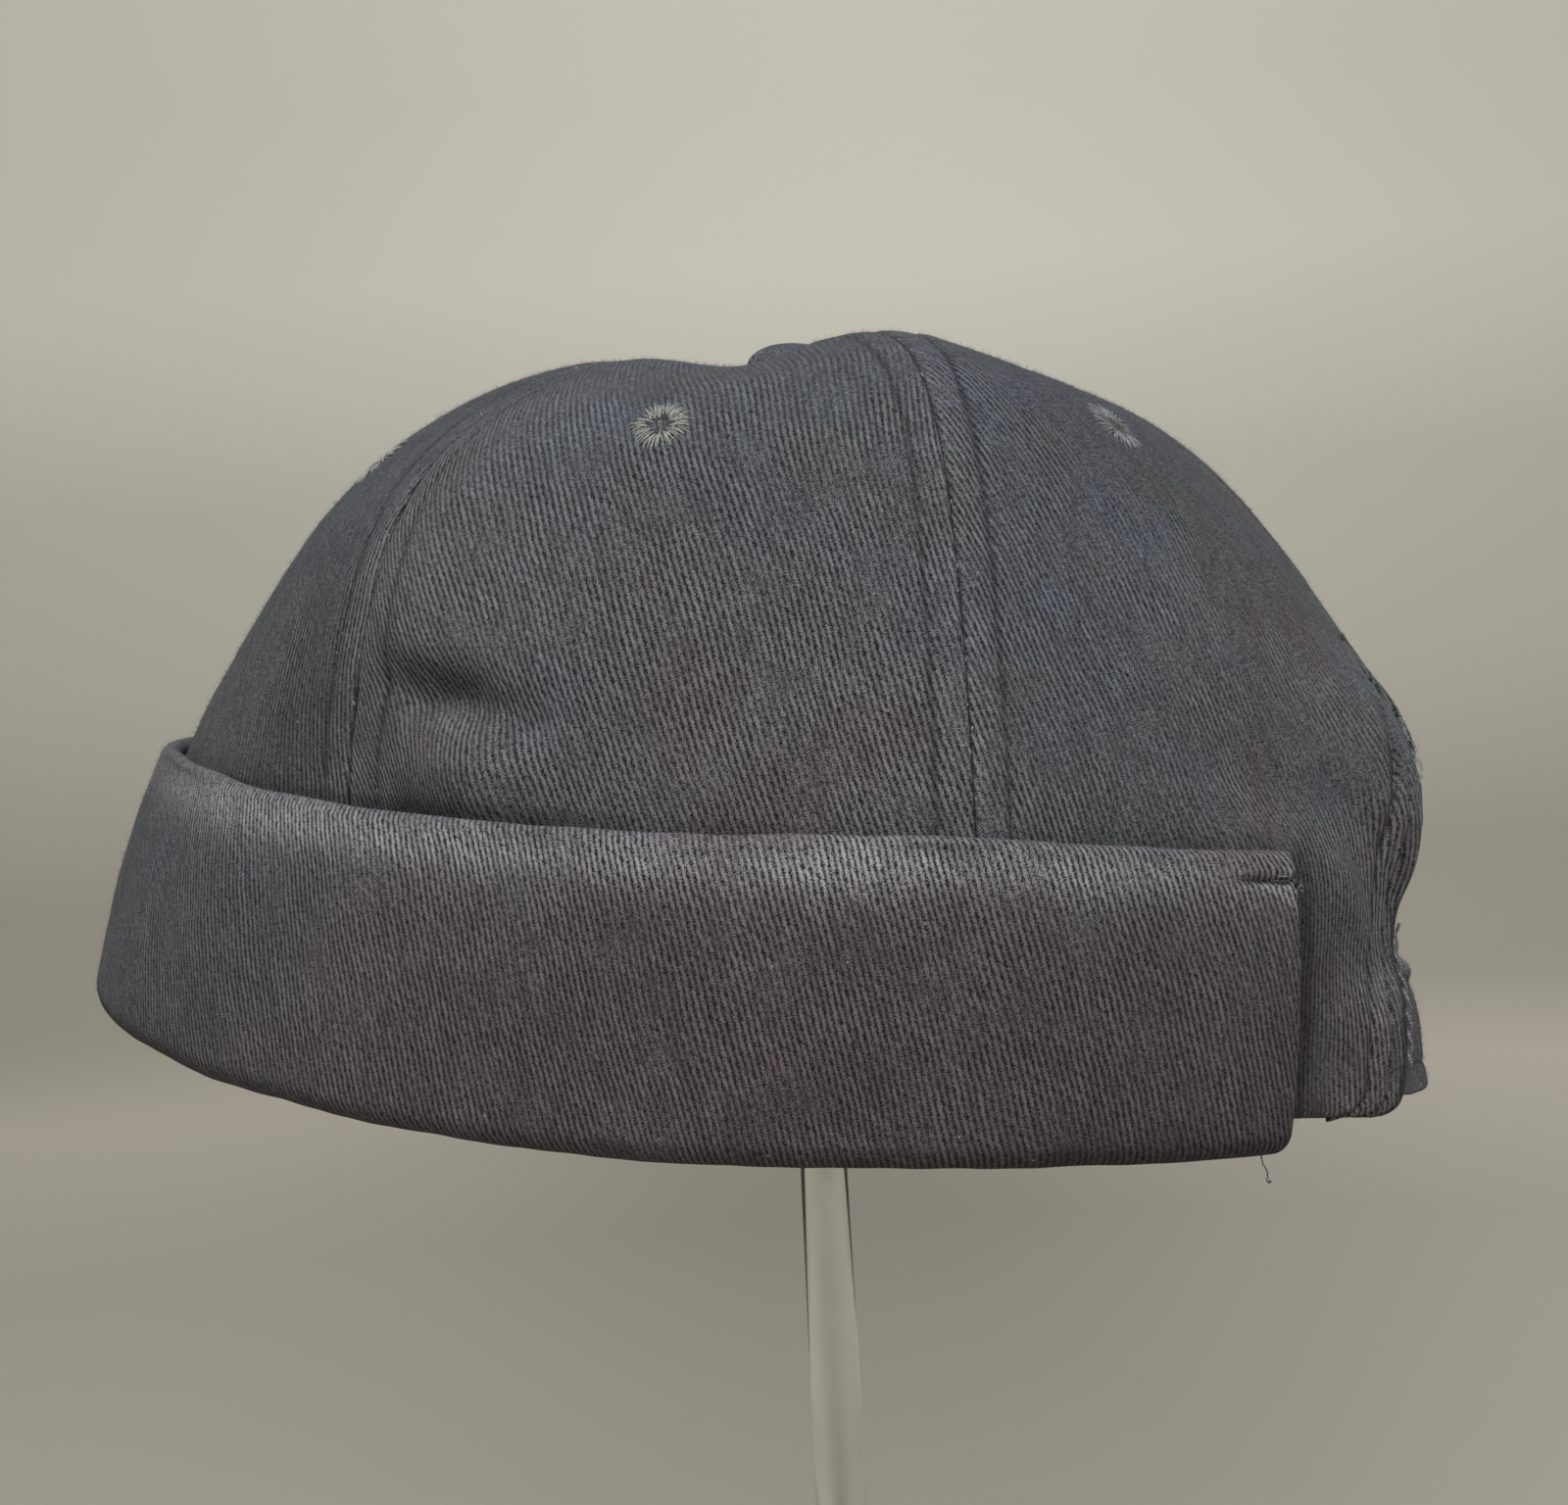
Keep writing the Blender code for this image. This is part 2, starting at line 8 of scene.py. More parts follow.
import logging
import math
import random
from dataclasses import dataclass, field
from enum import Enum
from itertools import product
from typing import Callable, NamedTuple, Sequence

import bmesh
import bpy
import numpy as np
from mathutils import Matrix, Vector, noise


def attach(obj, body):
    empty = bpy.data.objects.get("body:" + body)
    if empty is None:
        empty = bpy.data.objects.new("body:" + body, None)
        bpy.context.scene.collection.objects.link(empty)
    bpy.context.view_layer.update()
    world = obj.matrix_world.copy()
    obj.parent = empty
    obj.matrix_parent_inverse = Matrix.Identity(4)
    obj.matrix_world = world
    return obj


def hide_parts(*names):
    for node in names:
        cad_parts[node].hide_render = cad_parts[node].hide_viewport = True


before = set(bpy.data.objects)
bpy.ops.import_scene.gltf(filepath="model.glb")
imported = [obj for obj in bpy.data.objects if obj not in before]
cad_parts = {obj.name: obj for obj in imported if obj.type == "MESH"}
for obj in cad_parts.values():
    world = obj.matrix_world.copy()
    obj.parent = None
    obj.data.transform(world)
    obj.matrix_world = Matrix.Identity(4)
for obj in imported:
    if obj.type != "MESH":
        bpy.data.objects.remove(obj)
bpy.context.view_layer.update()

LOG = logging.getLogger("sailor_cap")
BODY = "root"
MM = 0.001
TAU = 2.0 * math.pi
MILLIMETRES = Matrix.Diagonal((MM, MM, MM, 1.0))
WEAVE = "weave"            # UV map of the cloth, in metres along and across the cloth
RUBBED = "rubbed"          # attribute: how far the dye is rubbed off, 0 to 1
PAINTED_SHADE = "shaded"          # attribute: how deep the painted shade is in creases, grooves, seams, folds and under parts, 0 to 1
FELTED = "felted"          # attribute: how far fuzz hides the weave, 0 to 1
PLUS, MINUS, TIMES, OVER, TIMES_PLUS = "ADD", "SUBTRACT", "MULTIPLY", "DIVIDE", "MULTIPLY_ADD"

Array = np.ndarray
Body = bmesh.types.BMesh
Mesh = bpy.types.Mesh
Piece = bpy.types.Object
Material = bpy.types.Material
Tree = bpy.types.NodeTree
Socket = bpy.types.NodeSocket


class Side(Enum):
    """The two sides of the cap, by the sign of their angles."""

    LEFT = 1
    RIGHT = -1


class Slot(Enum):
    """The record's material slots."""

    TWILL = "washed_twill"
    CUFF = "washed_twill_worn"
    EYELET = "eyelet_thread"
    CLEAR = "clear_acrylic"


# ------------------------------------------------------------------ numbers and nodes

def ease(knots: Sequence[float], values: Sequence[float], places: Array) -> Array:
    """Read a table smoothly between its knots, level at both ends.

    Args:
        knots: The table's places, rising.
        values: The table's values.
        places: Where to read it.

    Returns:
        The values at those places.
    """
    k, v = np.asarray(knots, float), np.asarray(values, float)
    slopes = np.zeros_like(v)
    slopes[1:-1] = (v[2:] - v[:-2]) / (k[2:] - k[:-2])
    index = np.clip(np.searchsorted(k, places, side="right") - 1, 0, len(k) - 2)
    span = k[index + 1] - k[index]
    part = np.clip((places - k[index]) / span, 0.0, 1.0)
    cube, square = part ** 3, part ** 2
    return ((2 * cube - 3 * square + 1) * v[index] + (cube - 2 * square + part) * span * slopes[index]
            + (3 * square - 2 * cube) * v[index + 1] + (cube - square) * span * slopes[index + 1])


def through(points: Array, knots: Sequence[float], places: Array) -> Array:
    """A smooth curve through points, the first and last of which only steer it.

    Args:
        points: One more point at each end than there are knots, along the first axis.
        knots: The places of the inner points.
        places: Where to read the curve.

    Returns:
        The curve's values at those places.
    """
    k = np.asarray(knots, float)
    index = np.clip(np.searchsorted(k, places, side="right") - 1, 0, len(k) - 2)
    part = (places - k[index]) / (k[index + 1] - k[index])
    before, start, end, after = (points[index + i, np.arange(len(places))] for i in range(4))
    return 0.5 * (2 * start + (end - before) * part
                  + (2 * before - 5 * start + 4 * end - after) * part ** 2
                  + (3 * start - before - 3 * end + after) * part ** 3)


def step(low: float, high: float, value: Array) -> Array:
    """Rise smoothly from 0 at low to 1 at high."""
    part = np.clip((value - low) / (high - low), 0.0, 1.0)
    return part * part * (3.0 - 2.0 * part)


def hump(value: Array, middle: float, width: float) -> Array:
    """A bell curve of height 1."""
    return np.exp(-((value - middle) / width) ** 2)


def unit(arrows: Array) -> Array:
    """The same arrows, each of length 1."""
    return arrows / np.linalg.norm(arrows, axis=-1, keepdims=True)


def run_of(points: Array) -> Array:
    """How far along a line of points each one lies."""
    return np.concatenate([[0.0], np.cumsum(np.linalg.norm(np.diff(points, axis=0), axis=1))])


def ring(radius: Array, angle: Array, height: Array) -> Array:
    """Points at a radius, at an angle in degrees round the cap, and at a height."""
    turn = np.radians(angle)
    return np.stack([radius * np.sin(turn), -radius * np.cos(turn), height], axis=-1)


def waver(first: Array, second: Array, size: float, seed: float) -> Array:
    """Smooth noise from about -1 to 1 over two coordinates.

    Args:
        first: The first coordinate.
        second: The second coordinate.
        size: The size of the noise's swells, in the coordinates' unit.
        seed: Picks another pattern.

    Returns:
        The noise at each place.
    """
    flat = zip(np.ravel(first) / size, np.ravel(second) / size)
    values = [noise.noise(Vector((x, y, seed))) for x, y in flat]
    return np.reshape(values, np.shape(first)) * 1.6


def linear(hex_colour: str) -> tuple[float, float, float, float]:
    """Turn an sRGB colour, "#rrggbb", into linear RGBA."""
    parts = [int(hex_colour[i:i + 2], 16) / 255.0 for i in (1, 3, 5)]
    return (*(c / 12.92 if c <= 0.04045 else ((c + 0.055) / 1.055) ** 2.4 for c in parts), 1.0)


def add_node(tree: Tree, kind: str, inputs: dict | None = None, stops: Sequence[tuple[float, str]] = (),
             **settings: str) -> bpy.types.Node:
    """Add one node with its settings, values and links.

    Args:
        tree: The material's node tree.
        kind: The node's Blender type, after "ShaderNode".
        inputs: Values or output sockets for its inputs, by name or number.
        stops: A colour ramp's places and hex colours.
        **settings: Properties to set on the node.

    Returns:
        The new node.
    """
    node = tree.nodes.new("ShaderNode" + kind)
    for key, value in settings.items():
        setattr(node, key, value)
    for key, value in (inputs or {}).items():
        if isinstance(value, Socket):
            tree.links.new(value, node.inputs[key])
        else:
            node.inputs[key].default_value = value
    for place, _ in stops[1:-1]:
        node.color_ramp.elements.new(place)
    for number, (place, tone) in enumerate(stops):
        stop = node.color_ramp.elements[number]
        stop.position, stop.color = place, linear(tone)
    return node


def new_material(name: str, **sockets: float | tuple) -> tuple[Material, Tree]:
    """Start a material.

    Args:
        name: Its name.
        sockets: Values of its shader's sockets, with _ for each space in a name.

    Returns:
        The material and its node tree.
    """
    made = bpy.data.materials.new(name)
    made.use_nodes = True
    for key, value in sockets.items():
        made.node_tree.nodes["Principled BSDF"].inputs[key.replace("_", " ")].default_value = value
    return made, made.node_tree


def coat(made: Material, colour: Socket, height: Socket, deep: float, strength: float = 1.0) -> Material:
    """Give a material its colour and its fine relief.

    Args:
        made: The material.
        colour: Its colour.
        height: The relief's height.
        deep: The relief's depth in millimetres.
        strength: How strongly it shows.

    Returns:
        The same material.
    """
    tree = made.node_tree
    bump = add_node(tree, "Bump", {"Strength": strength, "Distance": deep * MM, "Height": height})
    for source, socket in ((colour, "Base Color"), (bump.outputs[0], "Normal")):
        tree.links.new(source, tree.nodes["Principled BSDF"].inputs[socket])
    return made


# ------------------------------------------------------------------ finishes

@dataclass(frozen=True)
class WashedTwill:
    """Heavy cotton twill, piece-dyed and washed until it fades.

    The eye sees steep ropes of thread (wales) with dark grooves between them, each rope cut into
    short slanting floats. The dye has worn off the ropes' tops, and the grooves are dark from the
    dye that stayed in them and from painted shade: the colour runs from the groove's tone to the
    rope's with the relief's height. The dye has faded in patches of slate blue, indigo and plum
    brown.
    """

    name: str
    rope: str = "#98989c"           # tops of the wales, where the dye is rubbed thin
    groove: str = "#0e0e10"         # between the wales: dye kept in the grooves, and painted shade
    bare: str = "#b2b3b8"           # rubbed through on folds
    tints: tuple[str, str, str, str] = ("#f3dee5", "#f1eeed", "#dfe8ec", "#d7e1f1")
    blue_from: float = 0.232        # height in metres where the plum turns to slate
    blue_to: float = 0.292
    wale: float = 0.86              # mm from one wale to the next
    lean: float = 13.0              # degrees that the wales lean from the panel's middle line
    float_length: float = 2.3       # mm of thread that shows before it dips under
    pick: float = 0.6               # mm from one pinhole of the groove to the next
    relief: float = 0.24            # mm from the groove to the wale's top
    blotch: float = 36.0            # mm across a patch of faded dye
    fibre: float = 0.17             # mm, the fuzz of single fibres
    haze: float = 0.0               # share of the rib that felted fuzz covers all over
    cooler_front: float = 0.0       # how far the dye turns to slate towards the front

    def build(self) -> Material:
        """Make the material.

        Returns:
            The finished material.
        """
        made, tree = new_material(self.name, Roughness=0.93, Specular_IOR_Level=0.15, Sheen_Weight=0.06,
                                  Sheen_Roughness=0.45, Sheen_Tint=linear("#c9cbd2"))
        cloth = add_node(tree, "UVMap", uv_map=WEAVE).outputs["UV"]
        solid = add_node(tree, "TexCoord").outputs["Object"]
        wales = add_node(tree, "Mapping", {
            "Vector": cloth, "Rotation": (0.0, 0.0, -math.radians(self.lean)),
            "Scale": (1.0 / (self.wale * MM),) * 3}).outputs[0]
        value = {}
        for key, vector, scale, detail in (
                ("drift", wales, 0.03, 1.0), ("wobble", wales, 0.21, 2.0), ("patch", wales, 0.11, 3.0),
                ("strand", wales, 1.3, 4.0), ("fibre", cloth, 1.0 / (self.fibre * MM), 2.0),
                ("blotch", solid, 1.0 / (self.blotch * MM), 3.0),
                ("fade", solid, 2.6 / (self.blotch * MM), 4.0)):
            value[key] = add_node(tree, "TexNoise", {
                "Vector": vector, "Scale": scale, "Detail": detail}).outputs[0]
        value["x"], value["y"], _ = add_node(tree, "SeparateXYZ", {0: wales}).outputs
        _, value["ahead"], value["z"] = add_node(tree, "SeparateXYZ", {0: solid}).outputs
        for key in (RUBBED, PAINTED_SHADE, FELTED):
            value[key] = add_node(tree, "Attribute", attribute_name=key).outputs["Fac"]
        for key, operation, *terms in (
                # where this point stands across and along its wale
                ("drift_by", TIMES_PLUS, "drift", 3.0, -1.5),
                ("wobble_by", TIMES_PLUS, "wobble", 0.42, -0.21),
                ("moved", PLUS, "x", "drift_by"), ("across", PLUS, "moved", "wobble_by"),
                ("column", "FLOOR", "across"), ("inside", "FRACT", "across"),
                ("reach", TIMES, "y", self.wale / self.float_length),
                ("along", TIMES_PLUS, "column", 0.382, "reach"),
                ("cell", "FLOOR", "along"), ("stretch", "FRACT", "along"),
                # each float leans across its wale, and so the wale looks like a rope
                ("lean_in", TIMES_PLUS, "stretch", 0.16, -0.08), ("leant", PLUS, "inside", "lean_in"),
                ("leant_low", "MAXIMUM", "leant", 0.0), ("leant_cut", "MINIMUM", "leant_low", 1.0),
                ("turned", TIMES, "leant_cut", math.pi), ("arc", "SINE", "turned"),
                ("crest", "POWER", "arc", 1.9), ("bend", TIMES, "stretch", math.pi),
                ("float_arc", "SINE", "bend"), ("float_top", "POWER", "float_arc", 0.3),
                ("top_part", TIMES_PLUS, "float_top", 0.2, 0.8), ("ridge", TIMES, "crest", "top_part"),
                # the groove is a row of pinholes, darkened with painted shade, with short bridges between
                # them
                ("picks", TIMES, "y", self.wale / self.pick),
                ("picks_on", TIMES_PLUS, "column", 0.6, "picks"),
                ("picks_by", TIMES_PLUS, "strand", 1.5, "picks_on"), ("pinhole", "PINGPONG", "picks_by", 0.5),
                ("gap", MINUS, 1.0, "crest"), ("pin_deep", TIMES_PLUS, "pinhole", 0.4, 0.07),
                ("bridge", TIMES, "gap", "pin_deep"), ("rope_raw", PLUS, "bridge", "ridge"),
                # the felted fuzz blurs the ribs in places
                ("open", TIMES_PLUS, "patch", 2.6, -0.45 - self.haze), ("clear", MINUS, "open", FELTED),
                ("clear_low", "MAXIMUM", "clear", 0.06), ("clear_cut", "MINIMUM", "clear_low", 1.0),
                ("rope_off", MINUS, "rope_raw", 0.56), ("rope", TIMES_PLUS, "rope_off", "clear_cut", 0.56),
                ("strand_by", TIMES_PLUS, "strand", 1.2, -0.6),
                ("fuzz", TIMES_PLUS, "fibre", 3.4, "strand_by"),
                ("fuzz_off", MINUS, "fuzz", 1.7), ("height", PLUS, "rope", "fuzz_off"),
                # patches of dye
                ("rise", MINUS, "z", self.blue_from), ("lift", OVER, "rise", self.blue_to - self.blue_from),
                ("lift_low", "MAXIMUM", "lift", 0.0), ("lift_cut", "MINIMUM", "lift_low", 1.0),
                ("blotch_by", TIMES_PLUS, "blotch", 1.0, -0.25),
                ("lifted", TIMES_PLUS, "lift_cut", 0.45, "blotch_by"),
                ("ahead_by", TIMES_PLUS, "ahead", -self.cooler_front / 0.1, "lifted"),
                ("ahead_sq", TIMES, "ahead", "ahead"), ("ends_by", TIMES_PLUS, "ahead_sq", 15.0, "ahead_by"),
                ("spread", TIMES_PLUS, "ahead", 12.0, 0.6), ("fade_off", MINUS, "fade", 0.5),
                ("dapple", TIMES, "fade_off", "spread"), ("dye", PLUS, "ends_by", "dapple"),
                # the dye's fading, the painted shade and the felt each darken the colour
                ("fade_by", TIMES_PLUS, "fade", 0.5, 0.75), ("painted_shade_by", TIMES_PLUS, PAINTED_SHADE, -0.68, 1.0),
                ("felt_by", TIMES_PLUS, FELTED, -0.3, 1.0),
                # only the tops of the wales are rubbed bare
                ("top_off", TIMES_PLUS, "height", 1.7, -0.5), ("top_low", "MAXIMUM", "top_off", 0.0),
                ("top_cut", "MINIMUM", "top_low", 1.0), ("worn", TIMES, RUBBED, "top_cut")):
            value[key] = add_node(tree, "Math", {
                i: value[t] if isinstance(t, str) else t for i, t in enumerate(terms)},
                operation=operation).outputs[0]
        spot = add_node(tree, "CombineXYZ", {0: value["column"], 1: value["cell"]}).outputs[0]
        yarn = add_node(tree, "TexWhiteNoise", {"Vector": spot}, noise_dimensions="2D").outputs["Value"]
        # the colour runs from the groove's tone to the rope's with the relief's height, which paints shade
        # into the grooves
        tone = add_node(tree, "MapRange", {"Value": value["height"], "From Min": 0.0, "From Max": 1.2},
                        interpolation_type="SMOOTHSTEP").outputs[0]
        dye_and_groove_shade = add_node(tree, "Mix", {0: tone, 6: linear(self.groove), 7: linear(self.rope)},
                        data_type="RGBA").outputs[2]
        tint = add_node(tree, "ValToRGB", {0: value["dye"]},
                        list(zip((0.12, 0.38, 0.62, 0.9), self.tints))).outputs[0]
        tinted = add_node(tree, "Mix", {0: 1.0, 6: dye_and_groove_shade, 7: tint}, data_type="RGBA",
                          blend_type="MULTIPLY").outputs[2]
        worn = add_node(tree, "Mix", {0: value["worn"], 6: tinted, 7: linear(self.bare)},
                        data_type="RGBA").outputs[2]
        yarn_by = add_node(tree, "MapRange", {"Value": yarn, "To Min": 0.8, "To Max": 1.16}).outputs[0]
        for factor in (yarn_by, value["fade_by"], value["painted_shade_by"], value["felt_by"]):
            worn = add_node(tree, "VectorMath", {0: worn, "Scale": factor}, operation="SCALE").outputs[0]
        # pale specks of lint, 0.3 mm wide and a few centimetres apart
        specks = add_node(tree, "TexVoronoi", {"Vector": cloth, "Scale": 1.0 / (5.0 * MM)},
                          voronoi_dimensions="2D").outputs
        near = add_node(tree, "Math", {0: specks["Distance"], 1: 0.034}, operation="LESS_THAN").outputs[0]
        pick = add_node(tree, "SeparateColor", {0: specks["Color"]}).outputs[0]
        chosen = add_node(tree, "Math", {0: pick, 1: 0.93}, operation="GREATER_THAN").outputs[0]
        both = add_node(tree, "Math", {0: near, 1: chosen}, operation=TIMES).outputs[0]
        lint = add_node(tree, "Mix", {0: both, 6: worn, 7: linear("#8e8d8a")}, data_type="RGBA").outputs[2]
        return coat(made, lint, value["height"], self.relief)


@dataclass(frozen=True)
class SpunThread:
    """Twisted cotton or polyester sewing thread: a soft gleam with a fine slanting twist."""

    name: str
    light: str
    dark: str
    gloss: float = 0.62
    grain: float = 0.35             # mm, drawn coarser than the real twist so that it shows

    def build(self) -> Material:
        """Make the material.

        Returns:
            The finished material.
        """
        made, tree = new_material(self.name, Roughness=self.gloss, Specular_IOR_Level=0.35, Sheen_Weight=0.15)
        solid = add_node(tree, "TexCoord").outputs["Object"]
        grain = add_node(tree, "TexNoise", {
            "Vector": solid, "Scale": 1.0 / (self.grain * MM), "Detail": 3.0}).outputs[0]
        tone = add_node(tree, "ValToRGB", {0: grain}, ((0.3, self.dark), (0.68, self.light))).outputs[0]
        return coat(made, tone, grain, 0.05, 0.6)


@dataclass(frozen=True)
class CastAcrylic:
    """Clear cast acrylic, flame polished: see-through, with handling haze in faint patches.

    Light from the lamps and the room goes on through it, and so what lies behind it isn't black.
    """

    name: str = "clear_cast_acrylic"
    tint: str = "#f3f5f2"
    shade: str = "#e4e8e4"          # what it takes from the lamps' light

    def build(self) -> Material:
        """Make the material.

        Returns:
            The finished material.
        """
        made, tree = new_material(self.name, Base_Color=linear(self.tint), IOR=1.49, Transmission_Weight=1.0)
        shader = tree.nodes["Principled BSDF"]
        solid = add_node(tree, "TexCoord").outputs["Object"]
        haze = add_node(tree, "TexNoise", {
            "Vector": solid, "Scale": 1.0 / (12.0 * MM), "Detail": 4.0}).outputs[0]
        rough = add_node(tree, "MapRange", {
            "Value": haze, "From Min": 0.35, "From Max": 0.75, "To Min": 0.04, "To Max": 0.13})
        tree.links.new(rough.outputs[0], shader.inputs["Roughness"])
        path = add_node(tree, "LightPath").outputs
        light_ray = add_node(tree, "Math", {0: path["Is Shadow Ray"], 1: path["Is Diffuse Ray"]},
                             operation="MAXIMUM").outputs[0]
        open_way = add_node(tree, "BsdfTransparent", {"Color": linear(self.shade)}).outputs[0]
        both = add_node(tree, "MixShader", {0: light_ray, 1: shader.outputs[0], 2: open_way})
        tree.links.new(both.outputs[0], tree.nodes["Material Output"].inputs["Surface"])
        return made


@dataclass(frozen=True)
class PaintedBoard:
    """Matt emulsion on a smooth board, with painted light and shade: a deeper floor, a paler wall, a brighter
    patch of wall behind the cap and the cap's soft shadow on them.
    """

    name: str = "painted_studio_board"
    tones: tuple[tuple[float, str], ...] = (    # by metres from the middle plus metres up; painted light: a deeper floor with a paler ring near 1.2, and a wall paler higher up
        (0.4, "#999489"), (0.8, "#9c978c"), (1.2, "#b4ada1"), (1.6, "#a8a397"), (1.85, "#a7a297"),
        (2.2, "#c0bcb1"), (2.47, "#cbc8bd"), (2.73, "#e8e5da"), (2.85, "#eae7dc"))
    facing: float = 104.0           # degrees round the cap, the side that the lamps stand on
    painted_light: float = 0.22              # painted light: how much brighter the wall is behind the cap than at the sides
    glow_at: float = 0.13
    glow_width: float = 0.62
    shade: float = 0.36             # how deep the painted soft shadow of the cap is, behind and under it
    painted_shadow_at: tuple[float, float] = (0.03, 1.15)
    painted_shadow_width: tuple[float, float] = (0.2, 0.9)
    painted_shadow_top: float = 0.4

    def build(self) -> Material:
        """Make the material.

        Returns:
            The finished material.
        """
        made, tree = new_material(self.name, Roughness=0.9, Specular_IOR_Level=0.2)
        solid = add_node(tree, "TexCoord").outputs["Object"]
        turned_to = add_node(tree, "Mapping", {
            "Vector": solid, "Rotation": (0.0, 0.0, -math.radians(self.facing))}).outputs[0]
        value = dict(zip(("side", "back", "up"), add_node(tree, "SeparateXYZ", {0: turned_to}).outputs))
        flat = add_node(tree, "VectorMath", {0: solid, 1: (1.0, 1.0, 0.0)}, operation=TIMES).outputs[0]
        value["away"] = add_node(tree, "VectorMath", {0: flat}, operation="LENGTH").outputs["Value"]
        low, high = self.tones[0][0], self.tones[-1][0]
        for key, operation, *terms in (
                # painted light: the wall is brighter behind the cap than at the sides
                ("glow_off", MINUS, "side", self.glow_at), ("glow_by", OVER, "glow_off", self.glow_width),
                ("glow_sq", TIMES, "glow_by", "glow_by"), ("glow_in", "POWER", math.exp(-1.0), "glow_sq"),
                ("lit", TIMES_PLUS, "glow_in", self.painted_light, 1.02 - self.painted_light),
                # painted shadow: the cap's soft shade on the floor behind and under it, fading up the wall
                ("side_off", MINUS, "side", self.painted_shadow_at[0]),
                ("side_by", OVER, "side_off", self.painted_shadow_width[0]), ("side_sq", TIMES, "side_by", "side_by"),
                ("back_off", MINUS, "back", self.painted_shadow_at[1]),
                ("back_by", OVER, "back_off", self.painted_shadow_width[1]),
                ("both_sq", TIMES_PLUS, "back_by", "back_by", "side_sq"),
                ("painted_shadow", "POWER", math.exp(-1.0), "both_sq"),
                ("fading", TIMES_PLUS, "up", -1.0 / self.painted_shadow_top, 1.0), ("fade", "MAXIMUM", "fading", 0.0),
                ("pool_cut", TIMES, "painted_shadow", "fade"), ("dim", TIMES_PLUS, "pool_cut", -self.shade, 1.0),
                ("factor", TIMES, "lit", "dim"), ("path", PLUS, "away", "up"),
                ("path_off", MINUS, "path", low), ("place", OVER, "path_off", high - low)):
            value[key] = add_node(tree, "Math", {
                i: value[t] if isinstance(t, str) else t for i, t in enumerate(terms)},
                operation=operation).outputs[0]
        tone = add_node(tree, "ValToRGB", {0: value["place"]},
                        [((path - low) / (high - low), colour) for path, colour in self.tones]).outputs[0]
        painted = add_node(tree, "VectorMath", {0: tone, "Scale": value["factor"]},
                           operation="SCALE").outputs[0]
        grain = add_node(tree, "TexNoise", {"Vector": solid, "Scale": 900.0}).outputs[0]
        return coat(made, painted, grain, 0.1, 0.1)


@dataclass(frozen=True)
class Finishes:
    """Every material of the object, built once."""

    crown: Material = field(default_factory=WashedTwill("washed_cotton_twill").build)
    cuff: Material = field(default_factory=WashedTwill(
        "rubbed_cotton_twill", rope="#858186", groove="#151415", bare="#bdbdbf",
        tints=("#f3e5e9", "#f2ebee", "#e9eef0", "#e2e8f3"), lean=17.0, blue_from=0.20, blue_to=0.30,
        relief=0.16, cooler_front=0.3).build)
    strap: Material = field(default_factory=WashedTwill(
        "strap_cotton_twill", rope="#8b8d96", groove="#17171a", lean=62.0, haze=0.9, fibre=0.3).build)
    eyelet: Material = field(default_factory=SpunThread(
        "satin_stitch_thread", "#a6a6a2", "#53534f", 0.6).build)
    faded: Material = field(default_factory=SpunThread(
        "faded_stitch_thread", "#85868a", "#414247", 0.7).build)
    # the eyelets' dark pad: painted shade in the gaps between the rays and round the hole
    core: Material = field(default_factory=SpunThread("eyelet_gap_shade", "#26272a", "#131314", 0.8).build)
    sewing: Material = field(default_factory=SpunThread("dark_sewing_thread", "#54555a", "#2c2c30").build)
    lint: Material = field(default_factory=SpunThread("pale_cotton_lint", "#a2a19c", "#7b7a77", 0.9).build)
    fuzz: Material = field(default_factory=SpunThread("dyed_cotton_fuzz", "#77736f", "#4c4a4a", 0.95).build)
    # dark specks that stand for the painted shade in needle holes, notches and the eyelets' holes
    shadow: Material = field(default_factory=SpunThread("painted_hole_shade", "#1b1b1d", "#101012", 0.95).build)
    acrylic: Material = field(default_factory=CastAcrylic().build)


# ------------------------------------------------------------------ the crown's surface

class Section(NamedTuple):
    """One meridian of the crown: its radii and heights at hem, belly, shoulder and ridge."""

    angle: float
    radii: tuple[float, float, float, float]
    heights: tuple[float, float, float, float]


class Fold(NamedTuple):
    """A dent (negative depth) or swell of the soft crown, alike on both sides."""

    name: str
    angle: float
    up: float
    angle_span: float
    up_span: float
    depth: float


class Crease(NamedTuple):
    """A long soft crease (negative depth) or swell between two places, in mm across and deep."""

    name: str
    angle: float
    up: float
    far_angle: float
    far_up: float
    width: float
    depth: float
    left: float = 1.0           # share of it on the cap's left side
    right: float = 0.7          # and on its right side


class Seam(NamedTuple):
    """A seam between two panels."""

    hem_angle: float
    top_angle: float
    bow: float
    relief: float               # share of the full relief that washing has left it

    def at(self, up: Array) -> Array:
        """Its angle at these heights."""
        return self.hem_angle + (self.top_angle - self.hem_angle) * up + self.bow * np.sin(math.pi * up)


SEAMS = {"front": Seam(0.0, 0.0, 0.0, 0.7), "temple": Seam(69.5, 46.5, -2.5, 0.55),
         "rear": Seam(121.8, 119.5, 0.5, 1.0), "back": Seam(180.0, 180.0, 0.0, 0.8)}


